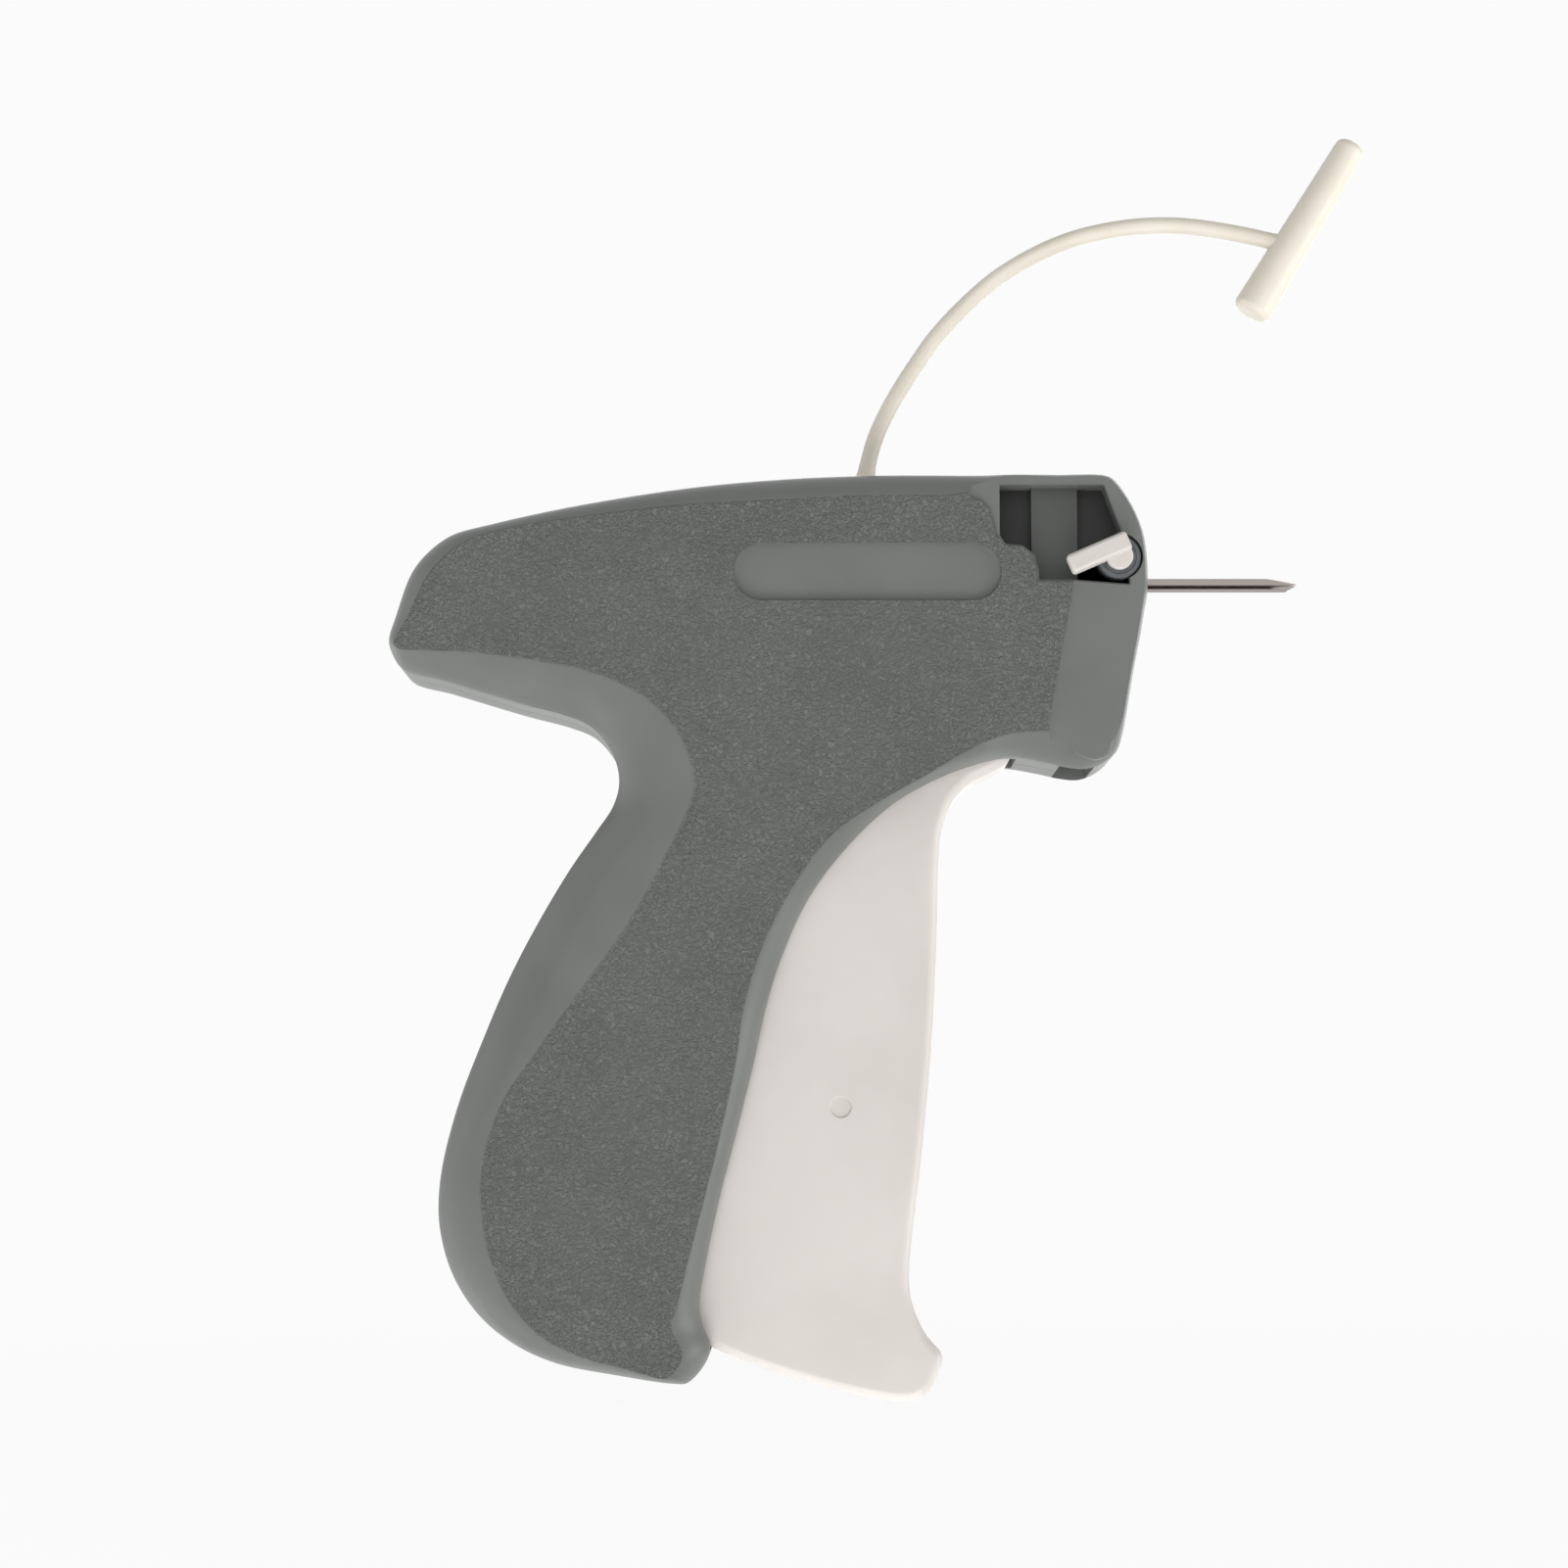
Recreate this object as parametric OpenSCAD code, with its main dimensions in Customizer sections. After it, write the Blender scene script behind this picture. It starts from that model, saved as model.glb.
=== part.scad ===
// Garment tag attacher: a pistol-grip hand tool that pushes plastic tag pins through a hollow needle.
// X runs forward along the needle, Z up, Y to the tool's left. The origin is the needle's root on the
// nose's front face. All sizes are in millimetres.

/* [Body] */
// Length of the body from the nose back to its lower rear corner
body_len = 118.7; // [98:0.1:145]
// Depth of the grip below the needle's axis
grip_len = 125.1; // [108:0.1:155]
// Width over the two textured side panels
body_w = 28; // [27:0.5:34]
// Wall of the two shells
wall = 2.2; // [1.8:0.1:2.7]
// Height of the textured panels above the smooth cheeks
panel_rise = 0.6; // [0.3:0.1:1]
// Depth of the blank stadium pocket in each panel
pocket_depth = 1; // [0.4:0.1:1.4]
// Depth of the side window in the right shell
window_depth = 6; // [4:0.1:7]

/* [Trigger] */
// Width of the trigger
trigger_w = 13; // [10.8:0.1:15.6]
// Thickness of the trigger's side walls
trigger_side = 2.4; // [2.2:0.1:2.8]
// Thickness of the trigger's front wall
trigger_front = 1.8; // [1.2:0.1:3]
// Full squeeze of the trigger in degrees
trigger_swing = 18; // [14:1:20]
// Diameter of the trigger's pivot pin
trigger_pin_d = 4; // [3:0.1:5]

/* [Drive] */
// Length of the drive arm's upper leg, from its pivot to the slider pin
arm_upper = 41; // [38:0.5:42]
// Length of the drive arm's lower leg, from its pivot to the roller
arm_lower = 14; // [12:0.5:15]
// Half of the drive arm's swing in degrees
arm_half_swing = 32; // [26:0.5:33]
// Thickness of the drive arm
arm_t = 4.2; // [3:0.1:4.6]
// Diameter of the roller and of the slider pin
roller_d = 3; // [2.4:0.1:3.6]
// Diameter of the drive arm's pivot pin
arm_pin_d = 3; // [2.4:0.1:4]
// Diameter of the ejector rod
rod_d = 1.2; // [1:0.05:1.3]
// Outer diameter of the return spring
spring_d = 5.2; // [4.4:0.1:5.4]
// Thickness of the return spring's coil
spring_t = 0.8; // [0.5:0.1:1.2]

/* [Needle] */
// Outer diameter of the exposed needle
needle_d = 2.2; // [2:0.05:2.6]
// Exposed length of the needle
needle_len = 24.5; // [18:0.5:32]
// Length of the needle's ground point
needle_point = 5.2; // [3:0.1:7]
// Width of the lengthwise slot in the needle
needle_slot = 0.6; // [0.4:0.05:0.8]
// Diameter of the needle's plastic hub
hub_d = 5.2; // [4.6:0.1:5.4]

/* [Clip feed] */
// Length of the clip channel's mouth along the body
clip_len = 6.8; // [6:0.1:7.2]
// Width of the clip channel across the body
clip_w = 3.6; // [3:0.1:3.9]
// Tip diameter of the feed wheel
wheel_d = 7; // [6:0.1:7.2]
// Number of teeth on the feed wheel
wheel_teeth = 10; // [8:1:14]
// Diameter of the feed wheel's axle
axle_d = 1.8; // [1.2:0.1:2.2]
// Thickness of the feed slide and of the ratchet beside it
slide_t = 1.8; // [1.2:0.1:2]

/* [Lock lever] */
// Diameter of the lock disc
disc_d = 7; // [6:0.1:7.4]
// Length of the lock lever
lever_len = 10.1; // [8:0.1:12]
// Width of the lock lever
lever_w = 3.2; // [2.4:0.1:3.6]
// Diameter of the lock's shaft
lock_shaft_d = 3.6; // [3:0.1:4]

/* [Strap and screws] */
// Diameter of the strap's round strand
strand_d = 2.6; // [2:0.1:3.4]
// Length of the strap's T bar
tbar_len = 32.6; // [22:0.1:38]
// Diameter of the T bar at its thick end
tbar_d = 6.3; // [5:0.1:8]
// Diameter of the strap's flange
flange_d = 6.4; // [5:0.1:8]
// Shank diameter of the shell screws
screw_d = 2.8; // [2.2:0.1:3]
// Head diameter of the shell screws
screw_head_d = 5.2; // [4:0.1:5.4]

/* [Hidden] */
$fn = 48;

grey = [0.40, 0.42, 0.40];
white = [0.87, 0.85, 0.83];
cream = [0.85, 0.81, 0.74];
steel = [0.62, 0.60, 0.58];
dark = [0.22, 0.22, 0.21];

fit = 0.05;            // radial clearance of a running fit
end_gap = 0.1;         // past the end of a pin in a blind hole, and under the lock disc
face_gap = 0.2;        // between faces that stay beside each other
gap = 0.3;             // clearance beside a sliding face
side_gap = 0.4;        // beside the slider and the feed wheel
slot_gap = 0.5;        // clearance of the trigger in the grip's front slot
overlap = 0.2;         // how far pieces of one moulding run into each other
past = 1;              // how far a cut runs past the face that it opens
edge_inset = 5;        // from the panel plane in to where the rounded edge starts
round_inset = 2.5;     // from the panel plane in to the middle of the rounded edge
half_w = body_w / 2;
cheek_y = half_w - panel_rise;
edge_y = half_w - edge_inset;
round_y = half_w - round_inset;
inner_y = half_w - wall - panel_rise;
core_y = edge_y - wall;
far_out = 200;

// The outlines below are drawn for these two sizes, and stretch behind the hook and below the guard.
drawn_len = 118.7;
drawn_grip = 125.1;
hook = [-88, -24];
guard_z = -78;
hook_k = (body_len + hook[0]) / (drawn_len + hook[0]);
grip_k = (grip_len + guard_z) / (drawn_grip + guard_z);
function stretch(p) = [
    p[0] < hook[0] && p[1] > hook[1] ? hook[0] + (p[0] - hook[0]) * hook_k : p[0],
    p[1] < guard_z ? guard_z + (p[1] - guard_z) * grip_k : p[1]];

// Silhouette of the body, clockwise from the top of the nose.
edge_points = [
    [-5, 15.2], [-6.5, 16], [-14, 16.1], [-23, 16.1], [-28, 16.1], [-42, 16.1], [-57, 15.5], [-72, 14.1],
    [-90, 11.2], [-103, 8.3], [-109, 6.6], [-112.6, 4], [-115.2, 0.7], [-117.6, -6], [-118.7, -10],
    [-118.3, -11.8], [-116.5, -14.5], [-110, -16.4], [-98, -20], [-91.5, -21.7], [-87.5, -23.3],
    [-84.9, -25.8], [-83.2, -28.9], [-82.6, -32.4], [-83.5, -36], [-86.1, -40], [-90.1, -45.8],
    [-94.9, -53.9], [-99.4, -62.6], [-103.5, -72.3], [-107.4, -82.8], [-109.9, -93.5], [-110, -101],
    [-107.8, -108.7], [-103.5, -115], [-98, -119.3], [-91.8, -122], [-82.7, -123.8], [-73.7, -125.1],
    [-71.6, -124.9], [-68.3, -120.3], [-69.5, -116.2], [-70, -113.3], [-68.9, -106.3], [-66.9, -96.9],
    [-64.5, -87.6], [-61.8, -76.8], [-59.6, -66.9], [-57, -58.8], [-52.8, -49.9], [-46.6, -41.8],
    [-40.2, -35.8], [-34.6, -32.4], [-28.7, -29.9], [-22.4, -28.4], [-16, -29.3], [-12.8, -30],
    [-9.7, -30.2], [-7, -29.2], [-5, -27.4], [-4.2, -25.3], [-3.7, -23], [-2.9, -18.5], [-2.1, -14],
    [-1.2, -9.6], [-0.5, -5.5], [0, -2.5], [0, 3], [-0.6, 7], [-2.2, 11]];

// The same stations on the flat of the side, where the rounded edge ends.
face_points = [
    [-5.8, 14], [-7, 14.7], [-14, 14.8], [-23, 14.8], [-29, 12.3], [-43.3, 11.9], [-58, 11.2], [-72, 10.5],
    [-88.2, 8.7], [-100, 6.8], [-106, 5], [-109.2, 2.8], [-112.2, -0.6], [-115.2, -7], [-117.4, -11.2],
    [-116.8, -11.9], [-113.2, -12.1], [-105, -12.3], [-94, -13.7], [-87.3, -15], [-82, -17], [-77.5, -19.7],
    [-73.6, -23.6], [-71, -28.5], [-70, -33.3], [-71.5, -38.2], [-74.1, -43.6], [-79.5, -53.8],
    [-86.8, -64.1], [-94.1, -73.9], [-100, -82.7], [-102.7, -91.5], [-102.8, -98.8], [-101.2, -106.5],
    [-98.1, -113], [-93.1, -118], [-87.3, -120.9], [-81.5, -122.4], [-75.2, -124], [-74, -123.4],
    [-72.6, -120.5], [-74.3, -116.3], [-73.4, -113.2], [-71.6, -105.9], [-69.2, -96.8], [-66.9, -87.5],
    [-64.6, -76.6], [-63, -66.5], [-60.4, -58.3], [-56, -49.5], [-49.8, -41.1], [-42, -35], [-35, -31],
    [-28.7, -27.9], [-22.4, -26.4], [-16, -26.4], [-13, -27.6], [-10, -28.4], [-7.8, -27.8], [-6.3, -26.4],
    [-5.4, -24.6], [-4.7, -22.6], [-3.9, -18.3], [-3.1, -14], [-2.3, -9.6], [-1.6, -5.5], [-1.2, -2.5],
    [-1.2, 3], [-1.8, 6.8], [-3.2, 10.4]];

function section(t) = [for (i = [0 : len(edge_points) - 1])
    stretch(edge_points[i] * (1 - t) + face_points[i] * t)];

// Front border of the textured panel: scallops beside the window, then the smooth cheek's edge.
panel_front = [[-29, 30], [-25, 12.2], [-24.4, 10], [-23.6, 6.4], [-22.4, 4.6], [-19.8, 4.4], [-17.9, 3],
    [-17.2, 0.6], [-17.2, -1], [-11.9, -2.4], [-12.9, -9.5], [-15.1, -21], [-15.6, -24.4], [-16, -40],
    [-far_out, -far_out], [-far_out, 30]];

// The window in the right shell's nose.
window = [[-23.3, 13.9], [-7, 13.9], [-4.2, 6], [-3.3, 3], [-3.1, -1.7], [-11.8, -1], [-17.2, -1],
    [-17.2, 0.6], [-17.9, 3], [-19.8, 4.4], [-22.4, 4.6], [-23.3, 6]];
column_x = [-18.2, -11];        // raised column over the clip channel, seen in the window
column_proud = 2.2;
window_y = half_w - window_depth;
window_floor = 1.2;             // thickness of the window's floor
floor_top = 3.4;                // the window's floor plate stands below this height

pocket = [-43.9, 0.2];          // centre of the blank pocket
pocket_size = [41.8, 9.1];

screw_places = [for (p = [[-108, -12.4], [-31.5, 10], [-103.8, -86.5], [-84.5, -117.5]]) stretch(p)];
screw_boss_d = 6.4;
screw_head_t = 1.8;
head_sink = 1;
cross_size = [3, 1.6, 0.6];     // each arm of the cross in a screw's head
screw_tip_y = 9;

trigger_pivot = [-24, -8.5];
trigger_half = trigger_w / 2;
trigger_inner = trigger_half - trigger_side;
hub_wall = 2.5;
hub_r = trigger_pin_d / 2 + hub_wall;
left_boss_d = 5.6;              // the left shell's boss passes through the feed slide
pin_end = inner_y - 0.5;
rear_open = [-5, 1.6];          // the trigger's hollow runs out of its rear by this step
trigger_points = [for (p = [
    [-21.6, -28.5], [-24.4, -30.4], [-27.6, -32], [-30.4, -35], [-31.8, -38.2], [-32.5, -42], [-33, -56.5],
    [-33.8, -71.8], [-35.5, -90.2], [-37, -102.4], [-37.5, -108.6], [-37.3, -111.6], [-36.4, -114.7],
    [-34.8, -117.8], [-32.4, -121], [-33.1, -123.7], [-34.6, -126.6], [-36.6, -127.7], [-38.6, -128],
    [-41.6, -127.7], [-47.4, -126.5], [-53.5, -124.9], [-59.7, -123], [-65.8, -120.7], [-68.2, -119.6],
    [-72, -117.4], [-72.6, -113.5], [-71.3, -106], [-69.5, -96.5], [-67.2, -87.3], [-65.4, -76.3],
    [-64.5, -66], [-62.4, -57], [-56, -48], [-49.5, -39.5], [-42.5, -31], [-37, -24], [-34.5, -14.5],
    [-32.5, -10], [-28, -6], [-20, -7], [-19.6, -12], [-20, -20]]) stretch(p)];
// The grip is cut away in front of the trigger, up to the circle that the trigger's lower edge sweeps.
sweep_r = max([for (p = trigger_points) norm(p - trigger_pivot)]) + gap;
slot_points = [[-20.6, -20], [-41, -24], [-65, -55], [-69, -76], stretch([-76, -112]),
    stretch([-74, -122]), stretch([-30, -132]), [-20.6, -60]];

crank_len = 6.7;                // from the trigger's pivot back to the pin that lifts the feed slide
crank = trigger_pivot - [crank_len, 0];
crank_d = 2.4;
feed_lift = crank_len * sin(trigger_swing);

arm_pivot = [-65, -48];
arm_ratio = 2 * arm_half_swing / trigger_swing;
arm_half_t = arm_t / 2;
arm_hub_r = 4;
leg_w = 4.2;
stroke = 2 * arm_upper * sin(arm_half_swing);
cam_steps = 8;
cam_gap = 0.15;                 // play of the roller in the trigger's cam groove
groove_depth = 1.5;
bracket_back = 20.2;            // from the arm's pivot back to the bracket's rear face
bracket_t = 3.2;
bracket_z = [-4, 3];            // the bracket's plate, below and above the arm's pivot
ear_t = 1.5;
ear_y = arm_half_t + gap;

slider_x = arm_pivot[0] - stroke / 2;
slider_half_y = 4.2;
slider_back = 4.5;
slider_nose = 6;
slider_z = [-4.4, 4.2];
tongue_t = 1.8;
tongue_out = 2.1;
rail_t = 1.6;
rail_back = 3;
rail_x = [slider_x - slider_back - rail_back, slider_x + stroke + slider_nose];
seat_t = 2;
pocket_x = slider_x - seat_t;   // bottom of the spring's pocket in the slider
yoke_y = arm_half_t + gap;
yoke_t = 1.4;
yoke_half_x = 4.3;
yoke_rim = 2;                   // below the pin's lowest place

guide_x = [-31, -25];
guide_z = [-2.9, 6];
guide_half_y = 6;
pad_inset = 0.5;
pad_z = [-0.6, 5];
rod_tip = -19.4;

clip_x = (column_x[0] + column_x[1]) / 2;
clip_wall = 0.8;
clip_side = 1.1;
clip_turn = -14;                // below this height the channel leans forward
clip_lean = 2.8;
top_z = 16.1;                   // the flat top and the lowest floor of the nose, outside
nose_floor_z = -28.4;
clip_top = top_z - wall - gap;
clip_end = nose_floor_z + wall;
mouth_z = [10, 18];             // the clip mouth's cut through the top of the shells
clip_exit = [[-14.2, -24], [-9.2, -24], [-8, -34], [-13.8, -34]];

blade_x = -10.1;
blade_t = 0.6;
blade_half = 3;
blade_top = 4;
hub_x = [-9.4, -wall - face_gap];
hidden_needle_d = needle_d + 0.4;      // the needle's thicker shank behind the nose's front face
slot_top = [-0.1, -0.1];        // the slot lies just under the needle's axis
bore_d = rod_d + gap;

wheel_back = 5.3;               // from the inside of the nose's front wall
wheel = [-wall - wheel_back, -10.3];
wheel_half_t = 1.4;
wheel_hub_y = -2.8;
wheel_hub_d = 3.8;
wheel_boss_d = 4.4;
wheel_boss_y = 3.2;
axle_end = inner_y - 1;
ratchet_y = trigger_half + slot_gap;
ratchet_d = wheel_d - 2 * gap;
tooth_h = 0.7;
tooth_lean = 0.45;              // how far round its pitch a tooth's tip leans
slide_front = wheel[0] - 5.7;
slide_back = 3.4;
slide_z = [-7.4, 4.6];          // the feed slide, below and above the trigger's pivot
slide_slot = [0.3, 0.9];        // play of the crank's pin behind and before it, as it swings
// The pawl and the detent spring are drawn from the wheel's centre.
pawl_points = [[-5.7, 4.9], [-5, 4.9], [-3.6, 0.3], [-4, 0.1], [-5.3, 3.7], [-5.7, 3.5]];
detent_half = 1.2;
detent_seat = [span(wheel[0] + 1.7, 1.8), span(wheel[1] - 10.5, 2.2)];
detent_points = [[0.6, -12.5], [1.1, -12.5], [1.1, -8.3], [0.4, -3.9], [0, -4], [0.6, -8.2]];

lock = [-4.7, 2.6];
lock_angle = 203.4;
disc_t = 2;
disc_y = [cheek_y - face_gap - disc_t, cheek_y - face_gap];
shaft_end = hub_d / 2 + end_gap;
shaft_boss = 1.2;               // wall of the boss round the lock's shaft, and its step back from the hub
lever_t = 2.5;
lever_y = [half_w - gap, half_w - gap + lever_t];
lever_tail = 2.2;
lever_rise = 1.6;               // the lever's middle line runs above the lock's axis
lever_boss_d = 4.2;

strap = [-43.9, 16.12];
strap_stem_d = 3;
strap_head_d = 4.8;             // the strap's head behind the hole in the top
strap_head_t = 1.4;
flange_h = 1.4;
flange_slope = 1;
// Centre line of the strand from the flange up and forward to the T bar.
strand_points = [[-44, 17], [-43.5, 19.5], [-42.4, 23.5], [-40.6, 27.6], [-38.5, 31.4], [-35.7, 35.8],
    [-32.6, 40.2], [-28.4, 44.8], [-23.3, 49.4], [-17.5, 53.1], [-11.3, 55.9], [-5.2, 57.5], [1, 58.3],
    [7.1, 58.3], [13.2, 57.5], [18.4, 56.5], [24.3, 55]];
tbar = [26.1, 57.8];
tbar_angle = 58.8;
tbar_taper = 0.76;

// ---- helpers ----

// A flat shape in X and Z, given depth between two heights of Y.
module slab(y0, y1) {
    translate([0, y1, 0])
        rotate([90, 0, 0])
            linear_extrude(y1 - y0)
                children();
}

// A round bar along Y.
module bar(p, d, y0, y1) {
    translate([p[0], y0, p[1]])
        rotate([-90, 0, 0])
            cylinder(d = d, h = y1 - y0);
}

// A round bar along X.
module rod_x(x0, x1, d) {
    translate([x0, 0, 0])
        rotate([0, 90, 0])
            cylinder(d = d, h = x1 - x0);
}

module block(x, y, z) {
    translate([x[0], y[0], z[0]])
        cube([x[1] - x[0], y[1] - y[0], z[1] - z[0]]);
}

// A flat bar of width 2r with round ends.
module stadium(a, b, r) {
    translate(a) circle(r);
    translate(b) circle(r);
    link(a, b, r);
}

// A curved slot of width 2r along a list of points, with round ends.
module track(points, r) {
    last = len(points) - 1;
    start = heading(points, 0);
    end = heading(points, last);
    polygon(concat(
        [for (i = [0 : last]) points[i] + r * away(heading(points, i) + 90)],
        [for (a = [75 : -15 : -75]) points[last] + r * away(end + a)],
        [for (i = [last : -1 : 0]) points[i] - r * away(heading(points, i) + 90)],
        [for (a = [-105 : -15 : -255]) points[0] + r * away(start + a)]));
}

module link(a, b, r) {
    step = b - a;
    translate(a)
        rotate(atan2(step[1], step[0]))
            translate([0, -r])
                square([norm(step), 2 * r]);
}

// The two ends of a length that lies half on each side of a place.
function span(middle, half) = [middle - half, middle + half];

// A unit step in the direction of an angle, and the heading of a line of points at one of them.
function away(angle) = [cos(angle), sin(angle)];
function heading(points, i) = let (
    a = points[max(i - 1, 0)],
    b = points[min(i + 1, len(points) - 1)]) atan2(b[1] - a[1], b[0] - a[0]);

// A point turned about a pivot as a joint about +Y turns it.
function turned(p, pivot, angle) = pivot + [
    (p[0] - pivot[0]) * cos(angle) + (p[1] - pivot[1]) * sin(angle),
    -(p[0] - pivot[0]) * sin(angle) + (p[1] - pivot[1]) * cos(angle)];

// Where the roller and the slider pin lie when the trigger has turned by an angle.
function roller_at(angle) = arm_pivot + arm_lower * [
    sin(arm_half_swing - arm_ratio * angle), -cos(arm_half_swing - arm_ratio * angle)];
function pin_at(angle) = arm_pivot + arm_upper * [
    -sin(arm_half_swing - arm_ratio * angle), cos(arm_half_swing - arm_ratio * angle)];
function slid(angle) = stroke * angle / trigger_swing;
cam_path = [for (i = [0 : cam_steps])
    turned(roller_at(trigger_swing * i / cam_steps), trigger_pivot, -trigger_swing * i / cam_steps)];
// The slider pin rises and falls in the slider's upright slot, and plays a little fore and aft in it.
yoke_low = pin_at(0)[1];
yoke_high = pin_at(trigger_swing / 2)[1];
yoke_play = max([for (i = [0 : cam_steps])
    pin_at(trigger_swing * i / cam_steps)[0] - slid(trigger_swing * i / cam_steps) - slider_x]);

// ---- shells ----

pocket_half = [(pocket_size[0] - pocket_size[1]) / 2, 0];

module half_body() {
    slab(0, edge_y) polygon(section(0));
    slab(0, round_y) polygon(section(0.35));
    slab(0, cheek_y) polygon(section(0.75));
    slab(0, half_w) intersection() {
        polygon(section(1));
        polygon(panel_front);
    }
}

module half_cavity() {
    slab(-past, core_y) offset(delta = -wall) polygon(section(0));
    slab(-past, round_y - wall) offset(delta = -wall) polygon(section(0.35));
    slab(-past, inner_y) offset(delta = -wall) polygon(section(0.75));
}

module trigger_slot() {
    slab(-past, trigger_half + slot_gap)
        intersection() {
            translate(trigger_pivot) circle(sweep_r, $fn = 96);
            polygon(slot_points);
        }
}

// What stays solid inside each half: screw bosses, rails, pads and pin bosses.
module half_inside(pin_boss, feed_y) {
    for (p = screw_places)
        bar(p, screw_boss_d, 0, half_w);
    for (z = [tongue_t / 2 + gap, -tongue_t / 2 - gap - rail_t])
        block(rail_x, [slider_half_y + side_gap, half_w], [z, z + rail_t]);
    block(guide_x + [pad_inset, -pad_inset], [guide_half_y, half_w], pad_z);
    bar(trigger_pivot, pin_boss, trigger_half + gap, half_w);
    bar(wheel, wheel_boss_d, feed_y, half_w);
    block(detent_seat[0], [detent_half, half_w], detent_seat[1]);
}

module half_shell(pin_boss, feed_y) {
    difference() {
        half_body();
        difference() {
            half_cavity();
            half_inside(pin_boss, feed_y);
        }
        trigger_slot();
        bar(trigger_pivot, trigger_pin_d + fit, -past, pin_end + end_gap);
        bar(wheel, axle_d + fit, -past, axle_end + end_gap);
        rod_x(-wall - past, past, hidden_needle_d + 2 * fit);
        translate([strap[0], 0, strap[1] - 3 * wall])
            cylinder(d = strap_stem_d + 2 * fit, h = 4 * wall);
        block(span(clip_x, clip_len / 2 + face_gap), [-past, clip_w / 2 + gap], mouth_z);
        slab(-past, edge_y) polygon(clip_exit);
        slab(half_w - pocket_depth, half_w + past)
            stadium(pocket - pocket_half, pocket + pocket_half, pocket_size[1] / 2);
    }
}

module right_shell() {
    color(grey)
        mirror([0, 1, 0])
            difference() {
                union() {
                    difference() {
                        half_shell(hub_r * 2, wheel_boss_y);
                        slab(window_y, half_w + past) polygon(window);
                    }
                    intersection() {
                        slab(window_y - window_floor, window_y + column_proud) polygon(window);
                        union() {
                            block(column_x, [0, half_w], [-far_out, far_out]);
                            block([-far_out, 0], [0, window_y], [-far_out, floor_top]);
                            bar(lock, disc_d, 0, disc_y[0] - end_gap);
                        }
                    }
                    intersection() {
                        half_body();
                        bar(lock, lock_shaft_d + 2 * shaft_boss, shaft_end + shaft_boss,
                            disc_y[0] - end_gap);
                    }
                }
                for (p = screw_places)
                    bar(p, screw_d + fit, -past, screw_tip_y + gap);
                bar(lock, lock_shaft_d + 2 * fit, -past, half_w + past);
                bar(lock, disc_d + 2 * face_gap, disc_y[0] - end_gap, half_w + past);
            }
}

module left_shell() {
    color(grey)
        difference() {
            half_shell(left_boss_d, ratchet_y + slide_t + gap);
            for (p = screw_places) {
                bar(p, screw_d + 2 * fit, -past, half_w + past);
                bar(p, screw_head_d + 2 * face_gap, half_w - screw_head_t - head_sink, half_w + past);
            }
        }
}

module shell_screws() {
    color(steel)
        for (p = screw_places)
            difference() {
                union() {
                    bar(p, screw_d, -screw_tip_y, half_w - screw_head_t - head_sink);
                    bar(p, screw_head_d, half_w - screw_head_t - head_sink, half_w - head_sink);
                }
                for (turn = [0, 90])
                    translate([p[0], half_w - head_sink, p[1]])
                        rotate([0, turn, 0])
                            cube(cross_size, center = true);
            }
}

// ---- trigger ----

module trigger_outline() {
    polygon(trigger_points);
    translate(trigger_pivot) circle(hub_r);
    stadium(trigger_pivot, crank, crank_d);
}

module trigger() {
    color(white)
        difference() {
            union() {
                difference() {
                    slab(-trigger_half, trigger_half) trigger_outline();
                    slab(-trigger_inner, trigger_inner) {
                        offset(delta = -trigger_front) polygon(trigger_points);
                        translate(rear_open) offset(delta = -trigger_front) polygon(trigger_points);
                    }
                }
                bar(trigger_pivot, hub_r * 2, -trigger_half, trigger_half);
                bar(crank, crank_d, trigger_inner, ratchet_y + slide_t);
            }
            bar(trigger_pivot, trigger_pin_d + 2 * fit, -trigger_half - past, trigger_half + past);
            slab(-trigger_inner - groove_depth, trigger_inner + groove_depth)
                track(cam_path, roller_d / 2 + cam_gap);
        }
}

module trigger_pin() {
    color(steel)
        bar(trigger_pivot, trigger_pin_d, -pin_end, pin_end);
}

// ---- drive ----

module arm_bracket() {
    plate = [arm_pivot[0] - bracket_back, arm_pivot[0] - bracket_back + bracket_t];
    height = [arm_pivot[1] + bracket_z[0], arm_pivot[1] + bracket_z[1]];
    color(grey)
        difference() {
            union() {
                block(plate, [-core_y, core_y], height);
                for (y = [ear_y, -ear_y - ear_t])
                    block([plate[1] - overlap, arm_pivot[0]], [y, y + ear_t], height);
                for (y = [ear_y, -ear_y - ear_t])
                    bar(arm_pivot, 2 * arm_hub_r, y, y + ear_t);
            }
            bar(arm_pivot, arm_pin_d + fit, -core_y, core_y);
        }
}

module drive_arm() {
    color(white)
        difference() {
            union() {
                slab(-arm_half_t, arm_half_t) {
                    stadium(pin_at(0), arm_pivot, leg_w / 2);
                    stadium(roller_at(0), arm_pivot, leg_w / 2);
                    translate(arm_pivot) circle(arm_hub_r);
                }
            }
            bar(arm_pivot, arm_pin_d + 2 * fit, -arm_t, arm_t);
            bar(roller_at(0), roller_d + fit, -arm_t, arm_t);
            bar(pin_at(0), roller_d + fit, -arm_t, arm_t);
        }
}

module arm_pin() {
    color(steel)
        bar(arm_pivot, arm_pin_d, -ear_y - ear_t, ear_y + ear_t);
}

module arm_roller() {
    roller_end = trigger_inner + groove_depth - face_gap;
    color(steel)
        bar(roller_at(0), roller_d, -roller_end, roller_end);
}

module slider_pin() {
    color(steel)
        bar(pin_at(0), roller_d, -yoke_y - yoke_t, yoke_y + yoke_t);
}

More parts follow.
